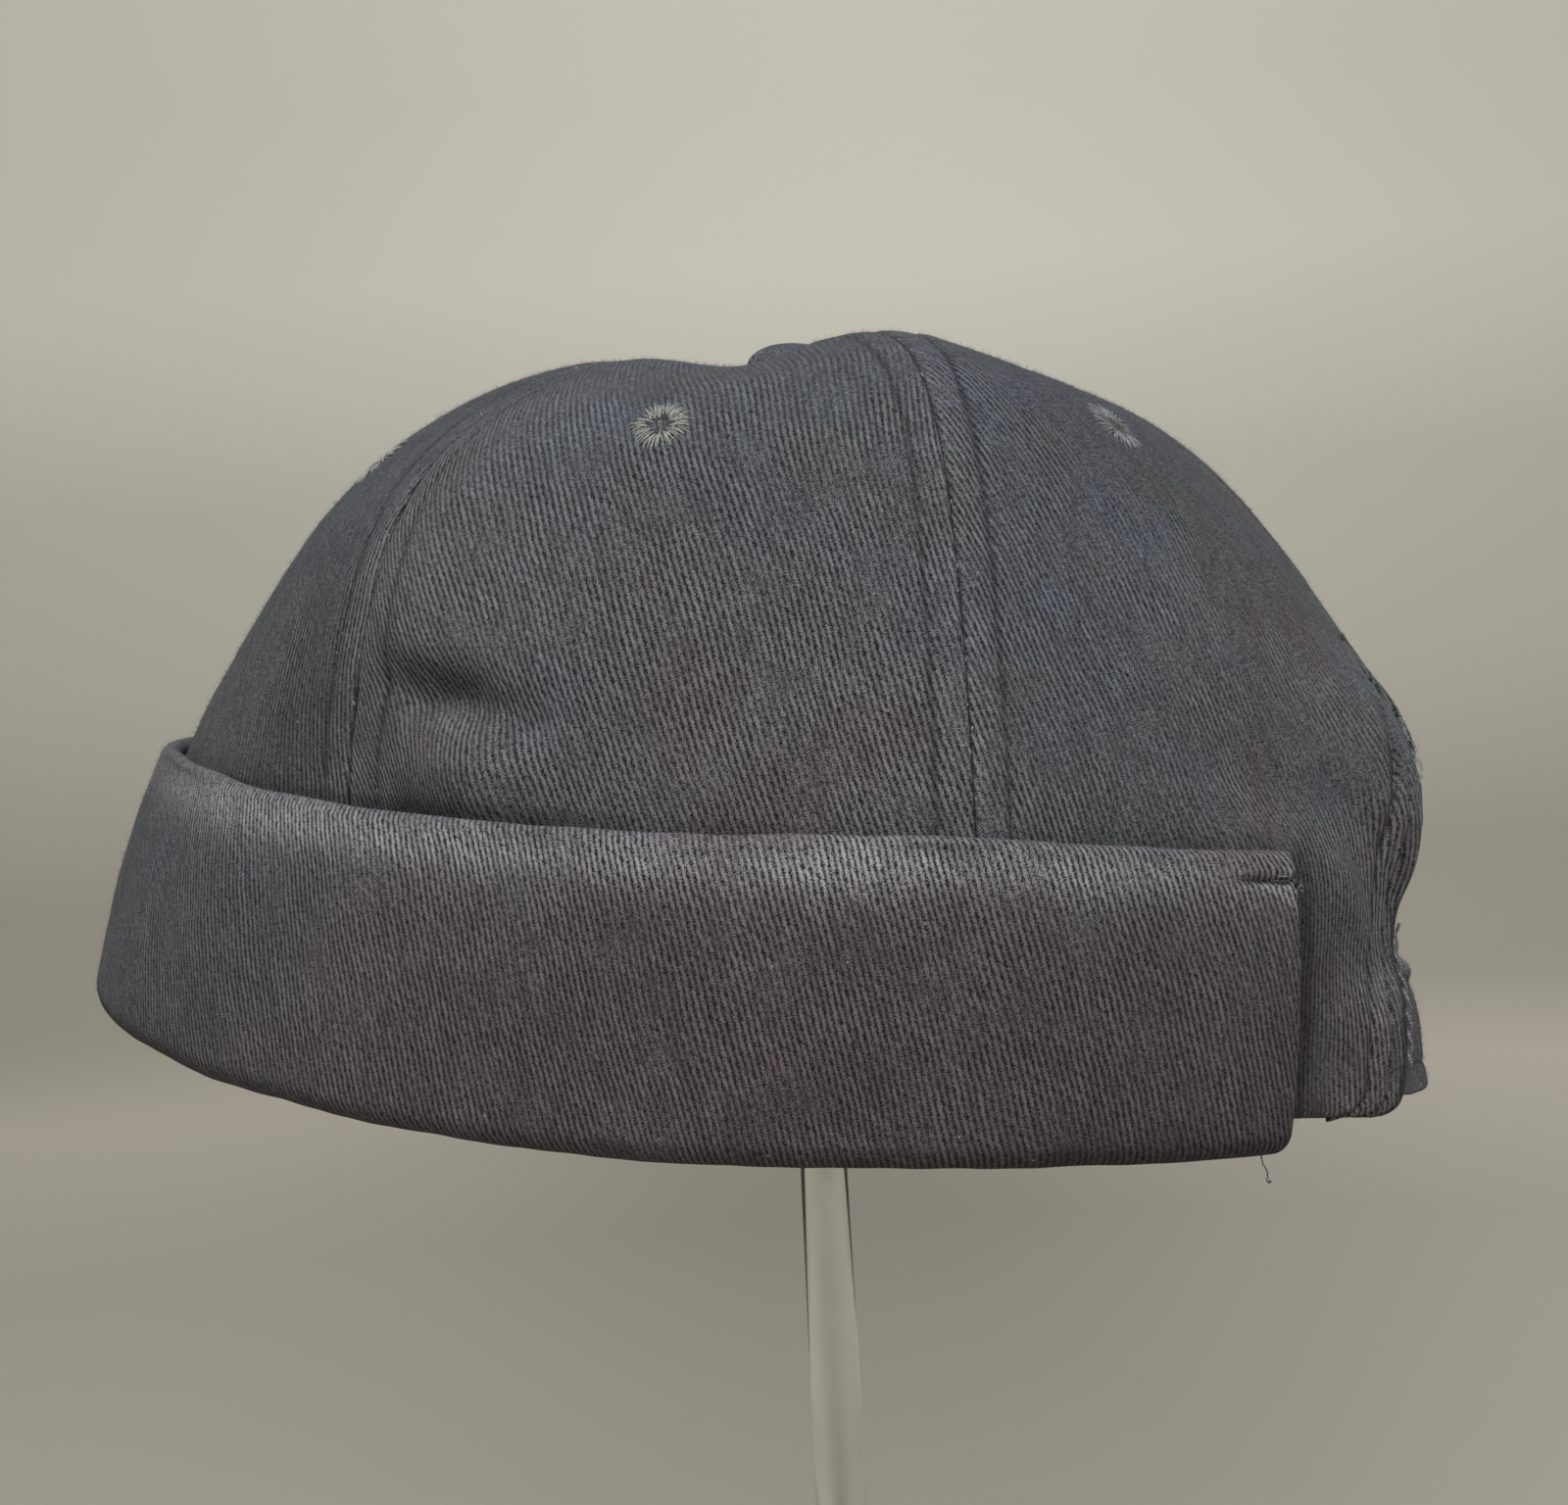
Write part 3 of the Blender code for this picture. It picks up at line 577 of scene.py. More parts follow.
@dataclass(frozen=True)
class Cap:
    """The cap's crown as a surface, and its place on the stand."""

    sections: tuple[Section, ...] = (
        Section(0, (95.0, 88.2, 65.2, 35.0), (2.0, 32.0, 73.0, 94.0)),
        Section(30, (92.4, 86.8, 65.6, 35.6), (1.6, 32.0, 74.0, 94.6)),
        Section(60, (86.6, 83.8, 67.8, 37.2), (-0.6, 33.0, 76.0, 95.4)),
        Section(90, (82.2, 81.4, 68.0, 38.0), (-1.4, 34.0, 82.0, 94.8)),
        Section(120, (86.6, 85.4, 66.0, 41.0), (0.4, 34.0, 85.0, 101.6)),
        Section(150, (94.0, 92.4, 66.8, 39.0), (1.6, 36.0, 83.0, 98.6)),
        Section(180, (99.8, 97.6, 67.6, 37.5), (-2.2, 38.0, 80.8, 96.4)))
    folds: tuple[Fold, ...] = (
        Fold("dent_behind_front_seam", 69.5, 0.335, 7.5, 0.024, -2.0),
        Fold("puff_under_the_dent", 74.0, 0.265, 8.0, 0.04, 1.5),
        Fold("flare_beside_opening", 170.0, 0.29, 10.0, 0.08, 2.8),
        Fold("pull_of_the_strap", 171.0, 0.135, 12.0, 0.05, -5.2))
    creases: tuple[Crease, ...] = (
        Crease("dent_line", 63.5, 0.354, 81.0, 0.312, 3.2, -1.7),
        Crease("hollow_beside_temple_seam", 64.0, 0.3, 70.0, 0.2, 4.0, -1.0),
        Crease("puff_below_dent", 76.0, 0.27, 78.0, 0.21, 7.0, 1.4),
        Crease("waist_before_opening", 148.0, 0.29, 163.0, 0.18, 6.0, -1.3),
        Crease("ridge_in_waist", 153.5, 0.235, 161.0, 0.15, 3.6, 0.9),
        Crease("valley_beside_ridge", 158.0, 0.275, 167.0, 0.17, 2.6, -0.9),
        Crease("flare_of_left_edge", 167.0, 0.32, 169.0, 0.15, 9.0, 1.5, right=0.0),
        Crease("flare_at_hem", 168.0, 0.08, 168.0, 0.0, 8.0, 1.3, right=0.0),
        Crease("pull_of_right_edge", 168.0, 0.21, 168.0, 0.08, 8.0, -2.2, 0.0, 1.0))
    knots: tuple[float, ...] = (0.0, 0.21, 0.55, 0.77, 1.0)
    top: float = 95.5
    length: float = 161.0
    setback: float = -0.73
    hem_height: float = 200.0
    nose_up: float = 6.85
    arch_half_angle: float = 12.0
    arch_up: float = 0.365
    arch_squareness: float = 2.3
    arch_corner: float = 3.8        # mm, how high the opening's lower corners are rounded
    corner_reach: float = 7.0       # mm, how far along the hem

    def smooth(self, angle: Array, up: Array) -> Array:
        """The crown's plain surface.

        Args:
            angle: Angles round the cap.
            up: Shares of the way up.

        Returns:
            Points in the cap's own frame, one row each.
        """
        turned = np.abs((angle + 180.0) % 360.0 - 180.0)
        knots, *tables = zip(*self.sections)
        curves = []
        for table, top, mirror in zip(tables, (0.0, self.top), (-1.0, 1.0)):
            columns = list(zip(*table))
            hem, belly, *rest = (ease(knots, column, turned) for column in columns)
            beyond = mirror * ease(knots, columns[-1], 180.0 - turned)
            line = np.stack([2 * hem - belly, hem, belly, *rest, top + 0.0 * turned, beyond])
            curves.append(through(line, self.knots, up))
        return ring(curves[0], angle, curves[1])

    def outward(self, angle: Array, up: Array) -> Array:
        """The crown's outward directions."""
        across = self.smooth(angle + 0.5, up) - self.smooth(angle - 0.5, up)
        return unit(np.cross(across, self.smooth(angle, up + 0.006) - self.smooth(angle, up - 0.006)))

    def fold_height(self, angle: Array, up: Array) -> Array:
        """How far the dents and swells move the crown outwards.

        Args:
            angle: Angles round the crown.
            up: Ways up it, 0 at the hem and 1 at the top.

        Returns:
            Millimetres.
        """
        turned = np.abs((angle + 180.0) % 360.0 - 180.0)
        return sum(f.depth * hump(turned, f.angle, f.angle_span) * hump(up, f.up, f.up_span)
                   for f in self.folds)

    def crease_height(self, angle: Array, up: Array) -> Array:
        """How far the long creases move the crown outwards.

        Args:
            angle: Angles round the cap.
            up: Shares of the way up.

        Returns:
            Millimetres.
        """
        signed = (angle + 180.0) % 360.0 - 180.0
        total = np.zeros_like(signed)
        for crease in self.creases:
            scale = self.radius(np.array([crease.angle]), np.array([crease.up]))[0] * math.radians(1.0)
            start = np.array([crease.angle * scale, crease.up * self.length])
            along = np.array([crease.far_angle * scale, crease.far_up * self.length]) - start
            x, y = np.abs(signed) * scale - start[0], up * self.length - start[1]
            near = np.clip((x * along[0] + y * along[1]) / (along @ along), 0.0, 1.0)
            away = np.hypot(x - near * along[0], y - near * along[1])
            share = np.where(signed > 0.0, crease.left, crease.right)
            total += share * crease.depth * hump(away, 0.0, crease.width)
        return total

    def surface(self, angle: Array, up: Array, lift: Array | float = 0.0) -> Array:
        """Points on the folded crown, or lift above it, in the cap's own frame."""
        height = (self.fold_height(angle, up) + self.crease_height(angle, up) + lift)[:, None]
        return self.smooth(angle, up) + self.outward(angle, up) * height

    def radius(self, angle: Array, up: Array) -> Array:
        """The crown's distance from its middle line, never under 1 mm."""
        return np.maximum(np.linalg.norm(self.smooth(angle, up)[:, :2], axis=1), 1.0)

    def to_row(self, points: Array) -> Array:
        """Turn points of the cap's own frame into the row frame.

        Args:
            points: Points in millimetres.

        Returns:
            The same points in metres.
        """
        lean = math.radians(self.nose_up)
        x, y, z = np.moveaxis(points, -1, 0)
        return np.stack([x, y * math.cos(lean) + z * math.sin(lean) + self.setback,
                         z * math.cos(lean) - y * math.sin(lean) + self.hem_height], axis=-1) * MM

    def arch(self, turn: Array, extra: Array | float) -> tuple[Array, Array]:
        """The back opening's edge, widened by extra.

        Args:
            turn: From a quarter turn at the hem to 0 at the arch's top.
            extra: Millimetres outside the opening's edge.

        Returns:
            The half angle from the back and the place on the way up.
        """
        per_degree = self.radius(np.array([180.0]), np.array([self.arch_up / 2]))[0] * math.pi / 180.0
        power = 2.0 / self.arch_squareness
        up = (self.arch_up + extra / self.length) * np.cos(turn) ** power
        low = np.clip(self.arch_corner - up * self.length, 0.0, self.arch_corner)
        corner = self.corner_reach * (1.0 - np.sqrt(1.0 - (low / self.arch_corner) ** 2))
        return (self.arch_half_angle + extra / per_degree) * np.sin(turn) ** power + corner / per_degree, up


CAP = Cap()
CAP_MIDDLE = CAP.to_row(np.array([0.0, 0.0, 38.0]))


# ------------------------------------------------------------------ making pieces

def show(mesh: Mesh, finish: Material, nodes: Sequence[str] = ()) -> Piece:
    """Put a finished mesh in the scene as a piece of the object, under the mesh's name.

    Args:
        mesh: The mesh, in metres in the row frame.
        finish: Its material.
        nodes: The CAD nodes that it stands for.

    Returns:
        The new object.
    """
    mesh.materials.append(finish)
    mesh.shade_smooth()
    piece = bpy.data.objects.new(mesh.name, mesh)
    bpy.context.scene.collection.objects.link(piece)
    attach(piece, BODY)
    if nodes:
        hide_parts(*nodes)
    LOG.info("%s: %d faces", piece.name, len(mesh.polygons))
    return piece


def mesh_of(body: Body, name: str, place: Matrix | None = None) -> Mesh:
    """Turn a body into a mesh, and use it up.

    Args:
        body: The body.
        name: The mesh's name.
        place: Moves the body first.

    Returns:
        The mesh.
    """
    if place is not None:
        bmesh.ops.transform(body, verts=body.verts, matrix=place)
    mesh = bpy.data.meshes.new(name)
    body.to_mesh(mesh)
    body.free()
    return mesh


def spots_of(mesh: Mesh) -> Array:
    """Where a mesh's points are.

    Args:
        mesh: The mesh.

    Returns:
        A row for each point.
    """
    flat = np.empty(len(mesh.vertices) * 3)
    mesh.vertices.foreach_get("co", flat)
    return flat.reshape(-1, 3)


def settle(mesh: Mesh, spots: Array, marks: dict[str, Array] | None = None) -> Mesh:
    """Move a mesh's points and store marks on them.

    Args:
        mesh: The mesh.
        spots: Where its points go.
        marks: Values for its points, by the attribute's name.

    Returns:
        The same mesh.
    """
    mesh.vertices.foreach_set("co", spots.astype(np.float32).ravel())
    for key, values in (marks or {}).items():
        mesh.attributes.new(key, "FLOAT", "POINT").data.foreach_set("value", values.astype(np.float32))
    mesh.update()
    return mesh


def grid_mesh(name: str, points: Array, cloth: Array, marks: dict[str, Array], welded: bool = False) -> Mesh:
    """A grid laid over a table of points, with its cloth coordinates.

    Args:
        name: The mesh's name.
        points: Rows by columns of points, in metres.
        cloth: Rows by columns of cloth coordinates, in metres.
        marks: Float attributes to store, rows by columns each.
        welded: Join the last column to the first and close both open ends, which makes a tube.

    Returns:
        The mesh, facing outwards.
    """
    rows, columns = points.shape[0] - 1, points.shape[1] - 1
    net = bmesh.new()
    bmesh.ops.create_grid(net, x_segments=columns, y_segments=rows, size=0.5)
    mesh = mesh_of(net, name)
    column, row = np.rint((spots_of(mesh)[:, :2] + 0.5) * (columns, rows)).astype(int).T
    corner = np.empty(len(mesh.loops), np.int32)
    mesh.loops.foreach_get("vertex_index", corner)
    layer = mesh.uv_layers.new(name=WEAVE)
    layer.uv.foreach_set("vector", cloth[row, column][corner].astype(np.float32).ravel())
    settle(mesh, points[row, column], {key: values[row, column] for key, values in marks.items()})
    if welded:
        net = bmesh.new()
        net.from_mesh(mesh)
        bmesh.ops.remove_doubles(net, verts=net.verts, dist=2e-6)
        bmesh.ops.holes_fill(net, edges=[edge for edge in net.edges if edge.is_boundary], sides=0)
        bmesh.ops.recalc_face_normals(net, faces=net.faces)
        net.to_mesh(mesh)
        net.free()
    elif sum((face.center - Vector(CAP_MIDDLE)).dot(face.normal) * face.area for face in mesh.polygons) < 0.0:
        mesh.flip_normals()
    return mesh


def turned(profile: Sequence[tuple[float, float]], sides: int) -> Body:
    """A closed body turned from a profile.

    Args:
        profile: Points of radius and height, bottom to top.
        sides: Steps round the body.

    Returns:
        The body.
    """
    body = bmesh.new()
    verts = [body.verts.new((radius, 0.0, height)) for radius, height in profile]
    edges = [body.edges.new(pair) for pair in zip(verts, verts[1:])]
    bmesh.ops.spin(body, geom=verts + edges, axis=(0, 0, 1), cent=(0, 0, 0), angle=TAU,
                   steps=sides, use_merge=True)
    bmesh.ops.remove_doubles(body, verts=body.verts, dist=1e-4)
    bmesh.ops.recalc_face_normals(body, faces=body.faces)
    return body


def bow(radius: float, rise: float, across: float, up: float, start: float, end: float,
        count: int) -> list[tuple[float, float]]:
    """Points of a profile along a part of an ellipse.

    Args:
        radius: The ellipse's half width.
        rise: Its half height.
        across: Its middle's distance from the axis.
        up: Its middle's height.
        start: Where the part begins, in degrees.
        end: Where it ends.
        count: How many points.

    Returns:
        The points.
    """
    return [(across + radius * math.cos(turn), up + rise * math.sin(turn))
            for turn in np.radians(np.linspace(start, end, count))]


def strewn(name: str, body: Body, table: Array) -> Mesh:
    """Lay a copy of a small closed body for each row of a table.

    Args:
        name: The mesh's name.
        body: The body, which reaches 1 from its middle along each axis; it is used up.
        table: Middle, direction and upward direction, three columns each, then length, width,
            height and the fall of the ends in millimetres.

    Returns:
        The mesh.
    """
    apart, across = 10.0, 256   # the copies stand in a square, so that each point tells its copy
    bmesh.ops.recalc_face_normals(body, faces=body.faces)
    copies = 1
    while copies < len(table):
        twin = bmesh.ops.duplicate(body, geom=body.verts[:] + body.edges[:] + body.faces[:])["geom"]
        by = (apart * copies, 0.0, 0.0) if copies < across else (0.0, apart * copies / across, 0.0)
        bmesh.ops.translate(body, verts=[v for v in twin if isinstance(v, bmesh.types.BMVert)], vec=by)
        copies *= 2
    bmesh.ops.delete(body, context="VERTS", geom=[
        v for v in body.verts if round(v.co.x / apart) + round(v.co.y / apart) * across >= len(table)])
    mesh = mesh_of(body, name)
    local = spots_of(mesh)
    cell = np.rint(local[:, :2] / apart)
    local[:, :2] -= cell * apart
    rows = table[(cell[:, 0] + cell[:, 1] * across).astype(int)]
    x = unit(rows[:, 3:6])
    z = unit(rows[:, 6:9] - x * np.sum(rows[:, 6:9] * x, axis=1, keepdims=True))
    fall = rows[:, 12:] * local[:, :1] ** 2
    local *= rows[:, 9:12] / 2.0
    return settle(mesh, rows[:, 0:3] + MM * (x * local[:, :1] + np.cross(z, x) * local[:, 1:2]
                                             + z * (local[:, 2:] - fall)))


@dataclass
class Sewing:
    """Stitches and threads, each a small capsule, gathered into one piece."""

    name: str
    finish: Material
    slot: Slot = Slot.TWILL
    detail: int = 1
    rows: list[tuple[float, ...]] = field(default_factory=list)

    def add(self, middle: Sequence[float], along: Sequence[float], up: Sequence[float], length: float,
            width: float, height: float = 0.0, bend: float = 0.0) -> None:
        """Add one capsule.

        Args:
            middle: Its centre, in metres in the row frame.
            along: Its direction.
            up: The direction it stands up in.
            length: Its length in millimetres.
            width: Its width in millimetres.
            height: Its height in millimetres, or 0 for the width.
            bend: How far its ends bend down, in millimetres.
        """
        self.rows.append((*middle, *along, *up, length, width, height or width, bend))

    def curl(self, middle: Vector, axis: Vector, start: Vector, radius: float, turn: float,
             width: float) -> None:
        """Add a curl of loose thread.

        Args:
            middle: Its centre, in metres.
            axis: The direction that it turns about.
            start: The direction from its centre to its first end.
            radius: Its radius in millimetres.
            turn: How far it turns, in radians.
            width: The thread's width in millimetres.
        """
        count = max(4, int(turn * radius / 0.35))
        first = (start - axis * start.dot(axis)).normalized()
        side = axis.cross(first)
        for i in range(count):
            at = turn * (i + 0.5) / count
            out = first * math.cos(at) + side * math.sin(at)
            self.add(middle + out * radius * MM, axis.cross(out), axis, turn * radius / count * 1.5, width)

    def done(self) -> None:
        """Show what has been added so far as one piece."""
        ball = bmesh.new()
        bmesh.ops.create_icosphere(ball, subdivisions=self.detail, radius=1.0)
        show(strewn(self.name, ball, np.array(self.rows)), self.finish)


@dataclass
class Fuzz:
    """Short single fibres that stand off the washed cloth and soften its outline."""

    finish: Material
    density: float = 0.8            # fibres to a square millimetre
    shortest: float = 0.3           # mm
    longest: float = 1.1
    width: float = 0.045
    share: int = 45000              # fibres to a piece
    draw: np.random.Generator = field(default_factory=lambda: np.random.default_rng(41))
    tables: list[Array] = field(default_factory=list)

    def scatter(self, points: Array, wanted: Array | float = 1.0) -> None:
        """Scatter fibres over a grid of points.

        Args:
            points: Rows by columns of points, in metres in the row frame.
            wanted: Share of the full density, over the same rows and columns.
        """
        corner = points[:-1, :-1].reshape(-1, 3)
        side = (points[1:, :-1] - points[:-1, :-1]).reshape(-1, 3)
        over = (points[:-1, 1:] - points[:-1, :-1]).reshape(-1, 3)
        normal = np.cross(side, over)
        area = np.linalg.norm(normal, axis=1)
        normal = normal / np.maximum(area, 1e-12)[:, None]
        normal *= np.sign(np.sum((corner - CAP_MIDDLE) * normal * area[:, None]))
        here = np.broadcast_to(wanted, points.shape[:2])[:-1, :-1].ravel()
        pick = np.repeat(np.arange(len(area)), self.draw.poisson(area / MM ** 2 * self.density * here))
        part = self.draw.random((2, len(pick), 1))
        spots = corner[pick] + side[pick] * part[0] + over[pick] * part[1]
        way = unit(normal[pick] * self.draw.uniform(0.1, 1.0, (len(pick), 1))
                   + self.draw.normal(0.0, 0.6, (len(pick), 3)))
        way = np.where(np.sum(way * normal[pick], axis=1, keepdims=True) < 0.0, -way, way)
        length = self.draw.uniform(self.shortest, self.longest, (len(pick), 1))
        rest = np.full((len(pick), 1), self.width)
        self.tables.append(np.hstack([spots + way * length / 2 * MM, way, np.cross(way, normal[pick] + 0.3),
                                      length, rest, rest, 0.0 * rest]))

    def done(self) -> None:
        """Show all fibres, in pieces of a bearable size."""
        table = np.concatenate(self.tables)
        for number, start in enumerate(range(0, len(table), self.share), 1):
            fibre = bmesh.new()
            bmesh.ops.create_cone(fibre, cap_ends=True, cap_tris=False, segments=3, radius1=1.0,
                                  radius2=0.0, depth=2.0)
            bmesh.ops.remove_doubles(fibre, verts=fibre.verts, dist=1e-4)
            bmesh.ops.rotate(fibre, verts=fibre.verts, matrix=Matrix.Rotation(math.pi / 2, 3, "Y"))
            show(strewn(f"cloth_fuzz_{number}", fibre, table[start:start + self.share]), self.finish)


# ------------------------------------------------------------------ crown panels

class Drag(NamedTuple):
    """A place where the cloth is dragged sideways, so that its wales curve or lean; shift in mm."""

    angle: float
    up: float
    angle_span: float
    up_span: float
    shift: float
    lean: float                 # sideways for each step up


class Patch(NamedTuple):
    """A soft-edged patch of painted shade."""

    share: float
    angle: float
    angle_span: float
    up: float
    up_span: float


class PanelSpan(NamedTuple):
    """A panel's place and the seams at its two edges."""

    place: str
    start: str
    end: str
    low_twist: float            # degrees that the weave leans further at the hem
    high_twist: float           # and at the top


@dataclass
class SeamRelief:
    """How the cloth rises and falls beside a pressed-open, twice topstitched seam, in mm."""

    roll: float = 0.5           # the edge turns in over this width
    drop: float = 0.3
    ridge: float = 0.16         # the allowance under the cloth lifts it
    stitch_at: float = 4.75     # the topstitching's distance from the seam
    groove: float = 0.34
    groove_width: float = 0.6
    allowance: float = 6.6
    pucker: float = 0.12
    pucker_length: float = 6.5

    def height(self, distance: Array, run: Array, seed: float, strength: Array, line: Array | float) -> Array:
        """The relief at a distance from the seam.

        Args:
            distance: Millimetres from the seam.
            run: Millimetres along the seam.
            seed: Picks the puckers' pattern.
            strength: Share of the relief to use, where the seams crowd near the top.
            line: The topstitching's distance from the seam.

        Returns:
            Millimetres outwards.
        """
        rolled = np.clip(1.0 - distance / self.roll, 0.0, 1.0) ** 2
        swell = step(0.3, 1.4, distance) * (1.0 - step(self.allowance, self.allowance + 1.6, distance))
        puckers = (waver(run, distance * 0.5, self.pucker_length, seed)
                   + 0.5 * waver(run, distance * 0.5, self.pucker_length * 0.4, seed + 7.0))
        near = hump(distance, 2.6, 3.2) + 0.6 * hump(distance, line + 2.2, 2.4)
        return (-self.drop * rolled * np.sqrt(strength)
                + strength * (self.ridge * swell + puckers * self.pucker * near
                              - self.groove * hump(distance, line, self.groove_width)))


@dataclass
class Crown:
    """The six panels, with their seams, creases and puffs."""

    finishes: Finishes
    fuzz: Fuzz
    spans: tuple[PanelSpan, ...] = (PanelSpan("front", "front", "temple", 0.0, 0.0),
                                    PanelSpan("side", "temple", "rear", 2.0, 8.0),
                                    PanelSpan("back", "rear", "back", -4.0, -8.0))
    drags: tuple[Drag, ...] = (
        Drag(58.0, 0.38, 13.0, 0.22, 0.0, 0.25), Drag(64.0, 0.27, 6.0, 0.10, 0.0, 0.3),
        Drag(76.0, 0.235, 5.0, 0.05, 1.3, 0.0), Drag(150.0, 0.2, 9.0, 0.07, -2.0, 0.0),
        Drag(163.0, 0.15, 7.0, 0.07, 1.6, 0.0))
    shade_patches: tuple[Patch, ...] = (Patch(0.4, 52.0, 9.0, 0.3, 0.13), Patch(0.35, 61.0, 8.0, 0.31, 0.055),
                                Patch(0.2, 49.0, 6.0, 0.38, 0.1), Patch(0.25, 87.0, 4.0, 0.645, 0.03))
    relief: SeamRelief = field(default_factory=SeamRelief)
    puff: float = 1.2
    cloth: float = 1.1
    seam_gap: float = 0.05
    hem_roll: float = 1.0
    hem_drop: float = 0.8
    binding_width: float = 5.5
    button_hole: float = 4.0
    edge_steps: tuple[float, ...] = (0.0, 0.15, 0.35, 0.6, 0.9, 1.3, 1.8, 2.5, 3.2, 3.8, 4.2, 4.5,
                                     4.75, 5.0, 5.3, 5.7, 6.2, 6.8, 7.5, 8.3, 9.2)
    middle_columns: int = 62
    row_count: int = 132
    arch_rows: int = 56
    wrinkle: float = 0.34
    wrinkle_size: float = 17.0
    stretch: float = 0.2            # how much wider the ribs are beside the opening

    def rows(self, has_arch: bool) -> tuple[Array, Array]:
        """Where the rows of a panel's grid stand.

        Args:
            has_arch: Whether the opening cuts into the panel.

        Returns:
            Each row's place on the way up, and the half angle that the opening cuts away.
        """
        top = 1.0 - self.button_hole / CAP.length
        if not has_arch:
            return np.linspace(0.0, top, self.row_count + 1), np.zeros(self.row_count + 1)
        cut = self.binding_width + self.seam_gap
        half, up = CAP.arch(math.pi / 2 * (1.0 - (np.arange(self.arch_rows) / self.arch_rows) ** 1.5), cut)
        up[0] = 0.0
        high = np.linspace(CAP.arch(np.zeros(1), cut)[1][0], top, self.row_count - self.arch_rows + 1)
        return np.concatenate([up, high]), np.concatenate([half, 0.0 * high])

    def spread(self, width: Array) -> Array:
        """Where the columns stand across each row, close together beside both seams.

        Args:
            width: The rows' widths in millimetres.

        Returns:
            Rows by columns of millimetres from the left seam.
        """
        left = np.array(self.edge_steps) * np.minimum(1.0, width / (2.9 * self.edge_steps[-1]))[:, None]
        share = np.linspace(0.0, 1.0, self.middle_columns + 2)[1:-1]
        inner = left[:, -1:] + (width[:, None] - 2 * left[:, -1:]) * share
        return np.concatenate([left, inner, width[:, None] - left[:, ::-1]], axis=1)

    @staticmethod
    def opening_line(up: Array) -> Array:
        """Millimetres from the opening's bound edge to the stitches beside it, fewer near the arch's top."""
        return 4.9 - 1.9 * step(0.17, 0.29, up)

    @staticmethod
    def middle(span: PanelSpan, up: Array) -> Array:
        """The angle of a panel's middle line."""
        return (SEAMS[span.start].at(up) + SEAMS[span.end].at(up)) / 2

    def weave_at(self, span: PanelSpan, side: int, angle: Array, up: Array) -> Array:
        """The cloth's own coordinates on a panel, in metres.

        Args:
            span: The panel.
            side: Sign of the cap's side.
            angle: Angles, as on the left side.
            up: Shares of the way up.

        Returns:
            Across and up the cloth; a panel's pattern is its own.
        """
        rises = np.linspace(0.0, 1.0, 101)
        centre = self.middle(span, rises)
        climb = run_of(CAP.smooth(centre, rises))
        twist = np.tan(np.radians(span.low_twist + (span.high_twist - span.low_twist) * rises))
        shear = np.concatenate([[0.0], np.cumsum(twist[1:] * np.diff(climb))])
        per_degree = math.radians(1.0) * np.interp(up, rises, CAP.radius(centre, rises))
        across = (angle - self.middle(span, up)) * per_degree + np.interp(up, rises, shear)
        across = across + sum((d.shift + d.lean * (up - d.up) * CAP.length)
                              * hump(angle, d.angle, d.angle_span) * hump(up, d.up, d.up_span)
                              for d in self.drags)
        across -= self.stretch * np.maximum(angle - 157.0, 0.0) * per_degree * (1.0 - step(0.2, 0.34, up))
        own = 300.0 * side + 70.0 * len(span.place)
        return np.stack([across * side + own, np.interp(up, rises, climb)], -1) * MM

    def wear(self, angle: Array, up: Array) -> dict[str, Array]:
        """How the cloth is rubbed, darkened with painted shade and felted away from its seams.

        Args:
            angle: Angles, as on the left side.
            up: Shares of the way up.

        Returns:
            The three marks by name.
        """
        # painted shade in soft patches on the front panel, beside the front seam and in the dent above the
        # side eyelet
        shaded = sum(p.share * hump(angle, p.angle, p.angle_span) * hump(up, p.up, p.up_span)
                     for p in self.shade_patches)
        # painted shade in the groove of the fold beside the front seam, which slants down to the back
        shaded += 0.5 * hump(angle, 71.5, 8.0) * hump(up - (72.0 - angle) * 0.0032, 0.348, 0.018)
        # painted shade on the strip just above the cuff, paler behind the side seam and gone at the cuff's
        # end
        shade_above_cuff = 0.7 * (1.0 - step(0.23, 0.246, up)) + 0.25 * (1.0 - step(0.238, 0.285, up))
        shaded += (shade_above_cuff * (0.45 + 0.55 * (1.0 - step(78.0, 96.0, angle)))
                   * (1.0 - step(142.0, 149.0, angle)))
        # painted shade: the crown's top, above all at the back, is darker
        shaded += (0.12 + 0.12 * (angle > 120.0)) * step(0.45, 0.75, up)
        past_end = angle - 151.6 - 1.6 * (1.0 - up / 0.235)     # degrees behind the cuff's end
        # painted shadow that the cuff's end casts on the crown beside it
        cuff_end_shadow = 0.6 * (1.0 - step(0.0, 1.5, past_end)) + 0.3 * (1.0 - step(0.5, 5.0, past_end))
        shaded += cuff_end_shadow * (angle > 146.0) * (1.0 - step(0.2, 0.24, up))
        # the swell beside the opening is rubbed on its ribs and darker
        belly = step(156.0, 163.0, angle) * hump(up, 0.185, 0.055)
        high_up = step(0.4, 0.6, up)
        return {RUBBED: 0.3 * belly + 0.16 * step(154.0, 159.0, angle) * hump(up, 0.1, 0.06),
                PAINTED_SHADE: shaded + 0.25 * belly,
                FELTED: (0.25 * step(122.0, 134.0, angle) * (1.0 - step(150.0, 158.0, angle) * (up < 0.4))
                         + (0.12 * step(0.38, 0.52, up) + 0.45 * step(0.58, 0.72, up)) * (angle < 122.0)
                         + 0.6 * high_up * step(126.0, 150.0, angle)
                         + 0.45 * step(0.225, 0.27, up) * step(146.0, 154.0, angle) * (1.0 - high_up)
                         + 0.5 * (1.0 - step(34.0, 62.0, angle)))}

